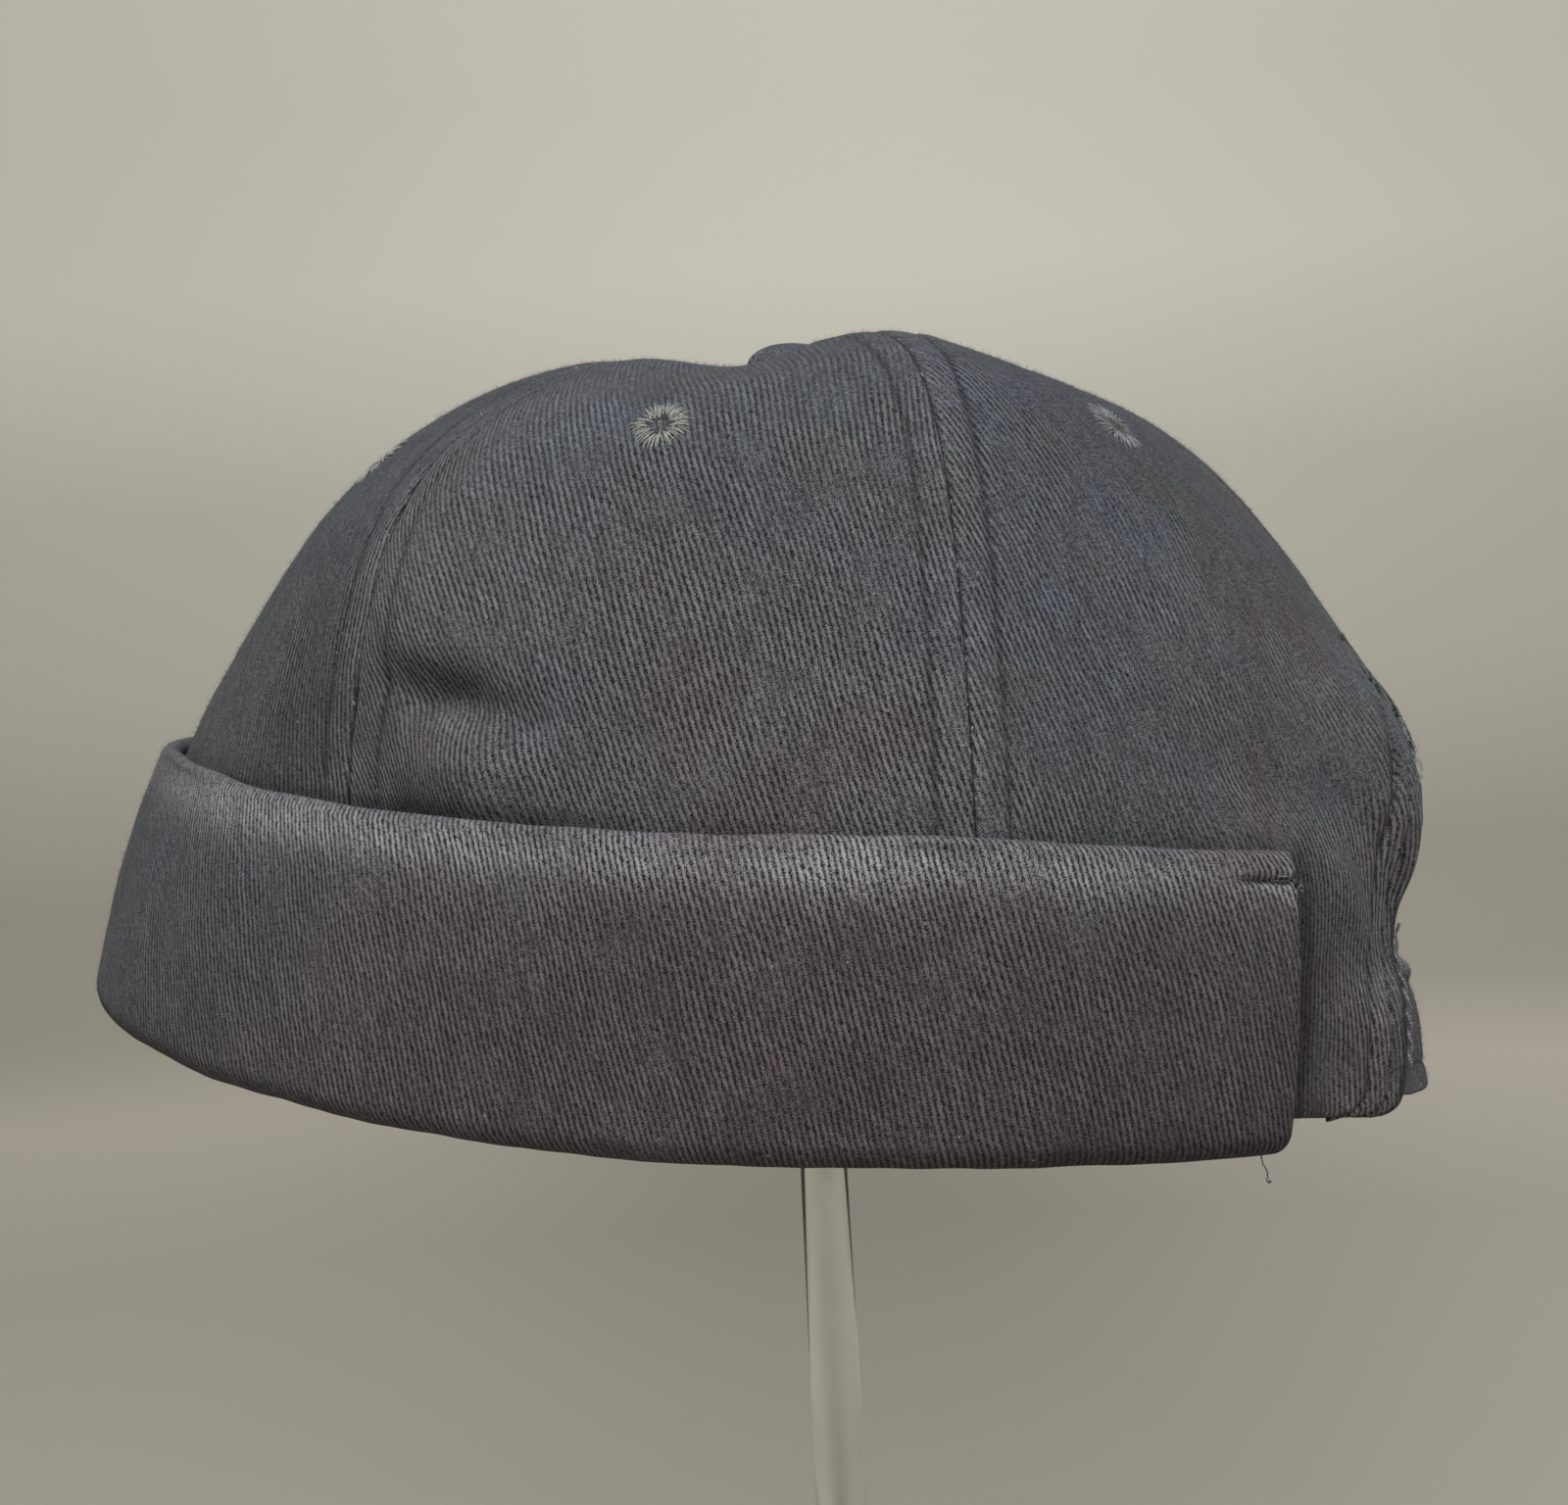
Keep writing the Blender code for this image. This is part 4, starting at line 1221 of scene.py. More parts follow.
    def build_panel(self, span: PanelSpan, side: Side) -> None:
        """Build one panel.

        Args:
            span: Which panel.
            side: Which side of the cap.
        """
        ups, cuts = self.rows(span.end == "back")
        start, end = SEAMS[span.start], SEAMS[span.end]
        first_seam, last_seam = start.at(ups), end.at(ups)
        per_degree = math.radians(1.0) * CAP.radius(self.middle(span, ups), ups)
        first = first_seam + self.seam_gap / 2 / per_degree
        width = (last_seam - np.maximum(cuts, self.seam_gap / 2 / per_degree) - first) * per_degree
        across = self.spread(width)
        angle = first[:, None] + across / per_degree[:, None]
        up = np.broadcast_to(ups[:, None], angle.shape)
        run = up * CAP.length
        share = (angle - first_seam[:, None]) / (last_seam - first_seam)[:, None]
        strength = np.minimum(1.0, width / 22.0)[:, None] * np.ones(angle.shape)
        seed = 3.1 * len(span.place) + 11.0 * side.value
        inner = (angle - self.middle(span, ups)[:, None]) * per_degree[:, None]
        calm = np.clip(1.0 - up, 0.15, 1.0)
        marks = self.wear(angle, up)
        lift = self.puff * np.sin(math.pi * share) * np.sin(math.pi * up)
        from_end = width[:, None] - across
        beside = np.where(cuts > 0.0, self.opening_line(ups), self.relief.stitch_at)[:, None]
        for distance, kind, seam, line in ((across, 1.0, start, self.relief.stitch_at),
                                           (from_end, 5.0, end, beside)):
            lift += self.relief.height(distance, run, seed + kind, strength * seam.relief, line)
            worn_line = 0.7 + 0.5 * waver(run, distance * 0.0, 6.0, seed + kind + 20.0)
            marks[RUBBED] += ((0.3 * hump(distance, 0.8, 0.5) + 0.1 * hump(distance, 2.8, 1.6))
                              * strength * worn_line)
            dashes = 0.8 + 0.2 * np.sin(TAU * run / 3.0)
            # painted shade in the seam's gap and in the topstitching's groove, in dashes
            marks[PAINTED_SHADE] += (0.5 * hump(distance, 0.0, 0.3)
                              + (0.6 + 0.3 * seam.relief) * hump(distance, line, 0.45) * dashes)
        fold = hump(from_end, beside, 1.2) * hump(up, 0.285, 0.055) * (cuts > 0.0)[:, None]
        # painted shade in the crease beside the opening's stitches
        marks[PAINTED_SHADE] += 0.35 * fold
        lift += (self.wrinkle * calm * waver(inner, run * 0.8, self.wrinkle_size, seed) - 0.9 * fold
                 + 0.12 * calm * waver(inner, run, self.wrinkle_size * 0.35, seed + 2.0)
                 - self.hem_drop * np.clip(1.0 - run / self.hem_roll, 0.0, 1.0) ** 2)
        points = CAP.surface((angle * side.value).ravel(), up.ravel(), lift.ravel())
        points = CAP.to_row(points).reshape(*angle.shape, 3)
        self.fuzz.scatter(points, ((up > 0.25) | (angle > 148.0)) * (1.0 + marks[FELTED]))
        for mark in (RUBBED, PAINTED_SHADE):
            marks[mark] = np.clip(marks[mark], 0.0, 1.0)
        name = f"{span.place}_{side.name.lower()}"
        mesh = grid_mesh(f"cloth_panel_{name}", points, self.weave_at(span, side.value, angle, up), marks)
        piece = show(mesh, self.finishes.crown, [f"panel_{name}"])
        wall = piece.modifiers.new("wall", "SOLIDIFY")
        wall.thickness, wall.offset = self.cloth * MM, -1.0
        wall.use_even_offset, wall.use_rim = False, True

    def build(self) -> None:
        """Build all six panels."""
        for side in Side:
            for span in self.spans:
                self.build_panel(span, side)


@dataclass
class Topstitching:
    """The two rows of stitches beside each seam, and on the seam itself dark specks of painted shade in its
    needle holes, and lint.
    """

    finishes: Finishes
    pitch: float = 3.0
    stitch: float = 2.3
    thread: float = 0.36
    offset: float = 4.75
    sink: float = -0.16
    top: float = 0.93

    def path(self, seam: Seam, offset: float, side: int, low: float,
             lift: float) -> tuple[Array, Array, Array]:
        """Points, directions and normals along a line beside a seam, evenly spaced.

        Args:
            seam: The seam.
            offset: Millimetres to the side of it.
            side: Sign of the cap's side.
            low: Where to start, on the way up.
            lift: Millimetres above the crown.

        Returns:
            Points and directions in the row frame, and outward normals.
        """
        ups = np.linspace(low, self.top, 400)
        angles = seam.at(ups)
        angles = (angles + offset / (CAP.radius(angles, ups) * math.radians(1.0))) * side
        points = CAP.to_row(CAP.surface(angles, ups, lift))
        run = run_of(points)
        wanted = np.arange(0.5 * self.pitch * MM, run[-1], self.pitch * MM)
        pick = np.clip(np.searchsorted(run, wanted), 1, len(run) - 2)
        normals = CAP.to_row(CAP.surface(angles, ups, lift + 1.0)) - points
        return points[pick], points[pick + 1] - points[pick - 1], normals[pick]

    def build(self) -> None:
        """Build the stitches of every seam."""
        draw = random.Random(7)
        rows = Sewing("topstitching", self.finishes.sewing)
        holes = Sewing("needle_hole_shade", self.finishes.shadow)
        lint = Sewing("seam_lint", self.finishes.lint)
        for side, (name, seam) in product((1, -1), SEAMS.items()):
            if side == -1 and name in ("front", "back"):
                continue
            low = 0.43 if name == "back" else 0.05
            for offset in (-self.offset, self.offset):
                for spot in zip(*self.path(seam, offset, side, low, self.sink)):
                    rows.add(*spot, self.stitch, self.thread, bend=0.14)
            # on the seam itself: dark specks of painted shade in the needle holes, and pale lint
            for point, along, normal in zip(*self.path(seam, 0.0, side, low, -0.3)):
                if draw.random() < 0.75:
                    size = draw.uniform(0.35, 0.85)
                    holes.add(point, along, normal, size * 1.6, size * 0.6, 0.4)
                if draw.random() < 0.5:
                    shake = Vector([draw.uniform(-1, 1) for _ in range(3)])
                    spot = Vector(point) + Vector(normal).normalized() * 0.3 * MM + shake * 0.4 * MM
                    way = Vector(along).normalized() + shake * 0.8
                    lint.add(spot, way, normal, draw.uniform(0.4, 1.0), 0.22, 0.16, 0.1)
        for piece in (rows, holes, lint):
            piece.done()


# ------------------------------------------------------------------ strips with a closed section

def rounded_strip(half: float, length: float, sides: int) -> Array:
    """The outline of a flat strip's section with round edges.

    Args:
        half: Half the strip's thickness.
        length: The strip's width.
        sides: Steps along each face.

    Returns:
        Closed outline of (along the width, outwards) points; the first is repeated at the end.
    """
    run = np.linspace(half, length - half, sides + 1)
    out = [(x, half) for x in run] + bow(half, half, length - half, 0.0, 90.0, -90.0, 9)[1:-1]
    out += [(x, -half) for x in run[::-1]] + bow(-half, -half, half, 0.0, 90.0, -90.0, 9)[1:-1]
    return np.array(out + out[:1])


def tube(name: str, stations: int, outline: Array, place: Callable[[Array, Array, Array], Array],
         marks: Callable[[Array, Array], dict[str, Array]], length: float, offset: float,
         taper: float = 0.0, weave: Callable[[Array, Array], Array] | None = None) -> Mesh:
    """Sweep a closed outline along a strip.

    Args:
        name: The mesh's name.
        stations: Steps along the strip.
        outline: Closed outline of (across, outwards) points in millimetres.
        place: Turns share along, across and outwards into points of the cap's own frame.
        marks: Gives the float attributes from share along and across.
        length: The strip's length in millimetres, for the cloth's coordinates.
        offset: Shifts the cloth's coordinates, so that pieces don't share a pattern.
        taper: Millimetres over which both ends round off.
        weave: Gives the cloth's coordinates where they go on from another piece's.

    Returns:
        The closed mesh.
    """
    share = np.linspace(-1.0, 1.0, stations + 1)
    share = 0.5 + 0.5 * np.sign(share) * (1.0 - (1.0 - np.abs(share)) ** (1.5 if weave else 1.0))
    if taper:
        ends = taper / length
        fine = np.array([0.0, 0.1, 0.3, 0.6, 1.0]) * ends
        share = np.concatenate([fine[:-1], np.linspace(ends, 1.0 - ends, stations - 7), 1.0 - fine[-2::-1]])
    along, across = np.meshgrid(share, outline[:, 0], indexing="ij")
    outwards = np.broadcast_to(outline[:, 1], along.shape)
    if taper:
        inside = np.clip(np.minimum(share, 1.0 - share) / ends, 0.0, 1.0)
        outwards = outwards * np.sqrt(np.clip(1.0 - (1.0 - inside) ** 2, 0.02, 1.0))[:, None]
    points = CAP.to_row(place(along.ravel(), across.ravel(), outwards.ravel()))
    cloth = weave(along, across) if weave else np.stack(
        [along * length + offset, np.broadcast_to(run_of(outline), along.shape) + offset], -1) * MM
    return grid_mesh(name, points.reshape(*along.shape, 3), cloth, marks(along, across), welded=True)


@dataclass
class Cuff:
    """The turned-up band: two layers, a soft rounded fold on top and a tight one below."""

    finishes: Finishes
    fuzz: Fuzz
    rows: tuple[tuple[float, float, float], ...] = (    # angle, then heights of the bottom and top folds
        (0, -1.6, 36.3), (30, -2.3, 37.2), (60, -4.4, 35.7), (90, -5.1, 36.3), (120, -3.2, 38.3),
        (150, -2.3, 37.4), (180, -2.3, 37.4))
    low_loop: tuple[float, float, float, float] = (86.0, 99.2, 102.5, 2.1)
    top_loop: tuple[float, float, float, float] = (86.0, 90.3, 102.0, 2.05)
    end_angle: float = 148.0
    slant: float = 1.7
    thickness: float = 2.6
    lip: float = 7.0
    end_lip: float = 2.8
    bend: float = 2.2
    bulge: float = 1.1
    corner: float = 1.4
    stations: int = 430
    path_steps: int = 64
    wave: float = 0.35
    tuck_at: float = 2.4            # mm below the top, where the bar tack pulls a groove

    def folds(self, angle: Array) -> tuple[Array, ...]:
        """Heights of the bottom and the top fold."""
        knots, *tables = zip(*self.rows)
        return tuple(ease(knots, table, np.abs(angle)) for table in tables)

    def leant(self, angle: Array, height: Array) -> Array:
        """Angles of places at these heights, as the band's ends slant."""
        bottom, top = self.folds(angle)
        return angle + self.slant * angle / self.end_angle * (top - height) / (top - bottom)

    def loop_radius(self, loop: tuple[float, float, float, float], angle: Array) -> Array:
        """The radius to the wall's middle on an egg-shaped loop.

        Args:
            loop: Its radius at the side, the front and the back, and its squareness.
            angle: Angles round the cap.

        Returns:
            The radii.
        """
        side, front, back, power = loop
        turn = np.radians(angle)
        length = np.where(np.cos(turn) > 0.0, front, back)
        return (np.abs(np.sin(turn) / side) ** power + np.abs(np.cos(turn) / length) ** power) ** (
            -1.0 / power) - self.thickness / 2

    def middle_line(self, angle: Array) -> Array:
        """The middle of the cuff's wall, from its lip round the bottom fold to its top.

        Args:
            angle: Angles round the cap.

        Returns:
            For each angle, path_steps + 1 points of (radius, height).
        """
        half, flat = self.thickness / 2, angle * 0.0
        bottom, top = self.folds(angle)
        low_r, top_r = (self.loop_radius(loop, angle) for loop in (self.low_loop, self.top_loop))
        to_end = np.radians(self.end_angle - np.abs(angle)) * low_r
        calm = self.wave * np.clip((self.end_angle - np.abs(angle)) / 8.0, 0.0, 1.0)
        inside = np.clip(self.corner - to_end, 0.0, self.corner)
        ripple = waver(angle, flat, 9.0, 4.0) + 0.5 * waver(angle, flat, 3.2, 9.0)
        bottom = bottom + self.corner - np.sqrt(self.corner ** 2 - inside ** 2) + 0.5 * ripple * calm
        top = (top - half + 0.6 * half * np.clip(1.0 - to_end / 1.3, 0.0, 1.0) ** 2
               + 0.6 * waver(angle, flat + 5.0, 7.0, 2.0) * calm)
        lip = np.minimum(self.lip, self.end_lip + np.maximum(to_end - self.corner, 0.0))
        start = bottom + half + self.bend
        line = [(low_r - lip, bottom + half)]
        for turn in np.radians(np.linspace(0.0, 90.0, 9)):
            line.append((low_r - self.bend + self.bend * math.sin(turn), start - self.bend * math.cos(turn)))
        for share in np.linspace(0.0, 1.0, self.path_steps + 2 - len(line))[1:]:
            line.append((low_r + (top_r - low_r) * share + self.bulge * math.sin(math.pi * share),
                         start + (top - start) * share))
        return np.array(line).transpose(2, 0, 1)

    def build(self) -> None:
        """Build the cuff."""
        edge = np.array([0.0, 0.08, 0.25, 0.5, 0.8, 1.15]) / 1.6
        inner = np.linspace(-self.end_angle + 0.9, self.end_angle - 0.9, self.stations)
        angle = np.concatenate([-self.end_angle + edge, inner, self.end_angle - edge[::-1]])
        away = np.abs(angle)
        line = self.middle_line(angle)
        way = unit(np.gradient(line, axis=1))
        outward = np.stack([way[..., 1], -way[..., 0]], -1)
        to_edge = np.radians(self.end_angle - away) * 100.0
        half = self.thickness / 2 * np.sqrt(np.clip(1.0 - (1.0 - np.clip(to_edge / 1.3, 0, 1)) ** 2, 0.06, 1))
        run = run_of(line[len(line) // 2])
        arc = np.radians(angle) * 96.0
        beside, along = np.meshgrid(arc, run, indexing="ij")
        calm = np.clip(to_edge / 6.0, 0.0, 1.0)[:, None] * step(10.0, 18.0, run)
        tuck = hump(run, run[-1] - self.tuck_at, 0.4) * step(140.0, 144.5, away)[:, None]
        wave = 0.30 * waver(beside, along * 0.7, 19.0, 12.0) + 0.13 * waver(beside, along, 6.0, 21.0)

        def rim(pick: int, sign: float) -> Array:
            """The half round at one end of the wall's section.

            Args:
                pick: The end's column, -1 at the top fold and 0 at the lip.
                sign: Which way it bulges.

            Returns:
                Seven columns of points.
            """
            return np.stack([line[:, pick] + outward[:, pick] * (half * math.sin(sign * turn))[:, None]
                             + way[:, pick] * (sign * half * math.cos(turn))[:, None]
                             for turn in np.radians(np.linspace(75.0, -75.0, 7))], 1)

        face = line + outward * (half[:, None] + wave * calm - tuck)[..., None]
        back = (line - outward * half[:, None, None])[:, ::-1]
        radius, height = np.moveaxis(np.concatenate(
            [face, rim(-1, 1.0), back, rim(0, -1.0), face[:, :1]], axis=1), -1, 0)
        pulled = 0.45 * step(140.0, 147.0, away) * np.sign(angle)
        below = self.folds(angle)[1][:, None] - height
        skin = CAP.to_row(ring(radius, self.leant(angle[:, None], height)
                               - pulled[:, None] * step(2.2, 0.9, below), height))
        reach = run_of(np.stack([radius, height], -1)[len(radius) // 2])
        top = run[-1]
        rubbed = (0.95 * hump(reach, top + 0.5, 3.0) + 0.1 * hump(reach, top - 4.0, 3.0)
                  + 0.12 * hump(reach, 10.5, 1.5)
                  + 0.3 * hump(to_edge, 0.0, 2.0)[:, None] * hump(reach, top - 1.0, 3.0))
        patchy = (0.85 + 0.3 * waver(arc, arc * 0.0, 22.0, 31.0)) * (0.5 + 0.5 * step(24.0, 48.0, away))
        rubbed = np.clip(rubbed * patchy[:, None], 0.0, 1.0)
        at_back = step(105.0, 140.0, away)[:, None]
        # painted shade: darker towards the bottom fold and towards the back, and in the bar tack's tuck
        shaded = (0.45 + 0.2 * at_back) * (1.0 - step(8.5, 15.0, reach)) + 0.12 * at_back
        rubbed[:, :len(run)] *= 1.0 - 0.9 * tuck
        shaded[:, :len(run)] += 0.9 * tuck
        self.fuzz.scatter(skin[:, 8:self.path_steps + 8])
        cloth = np.stack(np.meshgrid(arc + 500.0, reach, indexing="ij"), -1) * MM
        show(grid_mesh("turned_up_cuff", skin, cloth, {RUBBED: rubbed, PAINTED_SHADE: shaded}, welded=True),
             self.finishes.cuff, ["cuff"])

    def point(self, angle: float, down: float, lift: float = 0.0) -> tuple[Vector, Vector, Vector]:
        """A point on the cuff's outer face.

        Args:
            angle: Its angle.
            down: Millimetres below the top fold, measured along the wall.
            lift: Millimetres above the face.

        Returns:
            The point in the row frame, the direction round the cap and the outward direction.
        """
        turns = np.array([angle - 0.2, angle, angle + 0.2])
        line = self.middle_line(turns)
        run = run_of(line[1])[1:]
        pick = int(np.clip(np.searchsorted(run, run[-1] - down), 1, len(run) - 1))
        way = unit(line[1, pick + 1] - line[1, pick - 1])
        radius, height = (line[:, pick] + np.array([way[1], -way[0]]) * (self.thickness / 2 + lift)).T
        before, spot, after = (Vector(x) for x in CAP.to_row(ring(radius, self.leant(turns, height), height)))
        along = (after - before).normalized()
        radial = spot - Vector(CAP_MIDDLE)
        return spot, along, (radial - along * radial.dot(along)).normalized()


@dataclass
class Opening:
    """The turned and stitched edge round the arched opening at the back."""

    finishes: Finishes
    crown: Crown
    width: float = 5.5
    thickness: float = 2.0
    stations: int = 190
    length: float = 150.0           # mm along the edge
    tucks: tuple[float, float] = (0.742, 0.258)     # where the turned edge is caught in a short tuck

    @staticmethod
    def spots(share: Array, across: Array) -> tuple[Array, Array]:
        """Find places of the edge on the crown.

        Args:
            share: Where they lie along the edge.
            across: Millimetres from the opening.

        Returns:
            The crown's angles and ways up there.
        """
        turn = -math.pi / 2 + math.pi * share
        half, up = CAP.arch(np.abs(turn), across)
        up = np.where((share < 1e-6) | (share > 1.0 - 1e-6), 0.0, up)
        return 180.0 - np.where(turn > 0.0, half, -half), up

    def tuck(self, share: Array, across: Array) -> Array:
        """The short grooves of the tucks, 0 to 1."""
        return hump(across, 1.5, 0.4) * sum(hump(share, place, 0.03) for place in self.tucks)

    def place(self, share: Array, across: Array, outwards: Array) -> Array:
        """Points on the binding.

        Args:
            share: Where they lie along the edge.
            across: Millimetres from the opening.
            outwards: Millimetres outwards from the middle of the cloth.

        Returns:
            The points, in the cap's own frame.
        """
        angle, up = self.spots(share, across)
        groove = 0.25 * hump(across, self.width, 0.6) + 0.3 * self.tuck(share, across)
        swell = 0.16 * waver(share * self.length, across, 5.0, 8.0) - groove
        low = 1.0 - np.clip(up * CAP.length / self.thickness, 0.0, 1.0)
        return CAP.surface(angle, up, outwards - self.thickness / 2 + 0.2 + swell * (outwards > 0.0)
                           - 0.7 * low ** 2)

    def on_cap(self, share: Array, across: Array | float, outwards: float) -> Array:
        """The same points in the row frame, all at one distance outwards."""
        return CAP.to_row(self.place(share, across + 0.0 * share, outwards + 0.0 * share))

    def weave(self, share: Array, across: Array) -> Array:
        """Carry the back panels' weave on to the edge.

        Args:
            share: Where places lie along the edge.
            across: Millimetres from the opening.

        Returns:
            The cloth's coordinates there.
        """
        angle, up = (flat.reshape(share.shape) for flat in self.spots(share.ravel(), across.ravel()))
        left, right = (self.crown.weave_at(self.crown.spans[-1], side, 180.0 - np.abs(180.0 - angle), up)
                       for side in (1, -1))
        return np.where((angle > 180.0)[..., None], right, left)

    def marks(self, along: Array, across: Array) -> dict[str, Array]:
        """Rub the very edge, and paint shade into the grooves, the tucks and the strip beside the twisted
        fringe.

        Args:
            along: Where places lie along the edge.
            across: Millimetres from the opening.

        Returns:
            The float attributes.
        """
        edge = 0.35 * hump(across, 0.25, 0.6) * (0.7 + 0.5 * waver(along * self.length, across * 0, 9.0, 3.0))
        # painted shade in the tucks, in the groove at the binding's inner edge and on the strip beside the
        # twisted fringe
        dark = (self.tuck(along, across) + 0.4 * hump(across, self.width - 0.2, 0.5)
                + 0.9 * (1.0 - step(1.6, 3.0, across)) * step(0.36, 0.39, np.abs(along - 0.5)))
        return {RUBBED: np.clip(edge, 0, 1), PAINTED_SHADE: np.clip(dark, 0, 1), FELTED: 0.0 * along}

    def build(self) -> None:
        """Build the edge, its stitches and the frayed threads on it."""
        outline = rounded_strip(self.thickness / 2, self.width, sides=22)
        show(tube("bound_opening_edge", self.stations, outline, self.place, self.marks, self.length, 900.0,
                  weave=self.weave), self.finishes.crown, ["arch_binding"])
        face = self.thickness / 2
        shares = (np.arange(50) + 0.5) / 50
        line = self.width + self.crown.opening_line(self.spots(shares, np.full(50, self.width))[1])
        self.lay("opening_stitches", self.finishes.sewing, shares, line, face - 0.35, 2.3, 0.34)
        draw = random.Random(23)
        for name, finish, count, length, width in (
                ("opening_frayed_threads", self.finishes.sewing, 60, 3.6, 0.3),
                ("opening_pale_threads", self.finishes.lint, 44, 1.9, 0.13)):
            spread = np.array([draw.choice((0.02, 0.98)) + draw.gauss(0.0, 0.09) for _ in range(count)])
            across = np.array([draw.uniform(-0.1, 0.45) for _ in range(count)])
            self.lay(name, finish, np.clip(np.abs(spread), 0.06, 0.94), across, face * 0.4, length, width)
        curls = Sewing("opening_thread_curls", self.finishes.lint)
        for tuck in self.tucks:
            for _ in range(16):
                share = np.array([tuck + draw.uniform(-0.03, 0.03)])
                across = draw.uniform(-0.1, 1.0)
                low, high = (Vector(self.on_cap(share, across, face + lift)[0]) for lift in (0.1, 1.1))
                tilt = Vector([draw.uniform(-0.4, 0.4) for _ in range(3)])
                start = Vector([draw.uniform(-1.0, 1.0) for _ in range(3)])
                curls.curl(low, ((high - low).normalized() + tilt).normalized(), start,
                           draw.uniform(0.6, 1.5), draw.uniform(1.2, 3.2), 0.12)
        curls.done()
        fringe = Sewing("opening_twisted_fringe", self.finishes.faded)
        for first, last in ((0.885, 0.975), (0.115, 0.025)):
            for across, radius, pitch, width in ((0.0, 0.45, 5.6, 0.62), (-0.3, 0.35, 4.1, 0.24)):
                self.twist(fringe, np.linspace(first, last, 60), across, radius, pitch, width)
        fringe.done()

    def twist(self, sewing: Sewing, shares: Array, across: float, radius: float, pitch: float,
              width: float) -> None:
        """Lay two frayed strands that twist round each other along the edge.

        Args:
            sewing: Gathers the strands' short pieces.
            shares: Places along the edge.
            across: Millimetres from the opening.
            radius: Millimetres from the middle of the twist to each strand.
            pitch: Millimetres along the edge for a whole turn.
            width: A strand's width in millimetres.
        """
        flat = self.thickness * 0.42
        spots = self.on_cap(shares, across, flat)
        over = self.on_cap(shares, across, flat + 1.0) - spots
        aside = self.on_cap(shares, across - 1.0, flat) - spots
        for phase in (0.0, math.pi):
            turn = (run_of(spots) / MM / pitch * TAU + phase)[:, None]
            line = spots + radius * (over * np.cos(turn) + aside * np.sin(turn))
            for start, end, above in zip(line, line[1:], over):
                way = end - start
                sewing.add((start + end) / 2, way, above, np.linalg.norm(way) / MM * 1.5, width)

    def lay(self, name: str, finish: Material, shares: Array, across: Array, face: float, length: float,
            width: float) -> None:
        """Lay threads along the edge.

        Args:
            name: The piece's name.
            finish: Its material.
            shares: Where the threads lie along the edge.
            across: Millimetres from the opening.
            face: Millimetres outwards from the middle of the edge's cloth.
            length: A thread's length in millimetres.
            width: Its width in millimetres.
        """
        sewing = Sewing(name, finish)
        spots = self.on_cap(shares, across, face)
        ahead = self.on_cap(np.clip(shares + 0.004, 0.0, 0.999), across + 0.04, face) - spots
        above = self.on_cap(shares, across, face + 1.0) - spots
        for row in zip(spots, ahead, above):
            sewing.add(*row, length, width, bend=0.12)
        sewing.done()


@dataclass
class Band:
    """A flat cloth band along the foot of the opening."""

    name: str
    node: str
    finish: Material
    fuzz: Fuzz
    rows: tuple[tuple[float, float, float], ...]    # angle, distance from the crown and climb
    low_up: float
    high_up: float
    thickness: float = 1.5
    stations: int = 96
    offset: float = 0.0
    low_stitch: float = 3.4
    high_stitch: float = 2.8
    lean: float = 0.0               # mm that the top leans in
    hollow: float = 0.0             # mm that the middle falls in
    lip: float = 0.0                # mm that the rolled top edge stands out

    @property
    def tall(self) -> float:
        """The band's height in millimetres."""
        return (self.high_up - self.low_up) * CAP.length

    def stitched(self, across: Array, width: float) -> Array:
        """The two stitched lines, 0 to 1."""
        return hump(across, self.low_stitch, width) + hump(across, self.tall - self.high_stitch, width)

    def place(self, share: Array, across: Array, outwards: Array) -> Array:
        """Points on the band.

        Args:
            share: Where they lie along it.
            across: Millimetres up from its lower edge.
            outwards: Millimetres outwards from the middle of the cloth.

        Returns:
            The points, in the cap's own frame.
        """
        knots, *tables = zip(*self.rows)
        angle = knots[0] + (knots[-1] - knots[0]) * share
        stand_off, climb = (through(np.outer((row[0], *row, row[-1]), np.ones(len(angle))), knots, angle)
                            for row in tables)
        rise = across / self.tall
        up = self.low_up + (self.high_up - self.low_up) * rise
        flat = CAP.smooth(angle, up)
        ripple = 0.12 * waver(angle * 1.7, across, 6.0, 14.0) - 0.3 * self.stitched(across, 0.5)
        stand_off = (stand_off + CAP.fold_height(angle, up) - self.thickness / 2 + outwards
                     + ripple * (outwards > 0.0) + self.lean * (0.6 - rise)
                     - self.hollow * np.sin(math.pi * rise) + self.lip * hump(across, self.tall - 1.0, 1.1))
        return (flat + unit(flat * (1.0, 1.0, 0.0)) * stand_off[:, None]
                + climb[:, None] * (0.0, 0.0, 1.0))

    def marks(self, _along: Array, across: Array) -> dict[str, Array]:
        """Rub both edges, and paint shade into the grooves of the stitched lines."""
        return {RUBBED: 0.35 * (hump(across, 0.0, 0.8) + hump(across, self.tall, 0.8)),
                PAINTED_SHADE: 0.5 * self.stitched(across, 0.4)}

    def build(self) -> None:
        """Build the band."""
        outline = rounded_strip(self.thickness / 2, self.tall, sides=30)
        length = math.radians(abs(self.rows[-1][0] - self.rows[0][0])) * 99.0
        mesh = tube(self.name, self.stations, outline, self.place, self.marks, length, self.offset, taper=0.8)
        along, across = np.meshgrid(np.linspace(0.01, 0.99, 80), outline[:40, 0], indexing="ij")
        outwards = np.broadcast_to(outline[:40, 1], along.shape)
        spots = self.place(along.ravel(), across.ravel(), outwards.ravel()).reshape(*along.shape, 3)
        self.fuzz.scatter(CAP.to_row(spots), 3.0)
        show(mesh, self.finish, [self.node])


# ------------------------------------------------------------------ button and eyelets

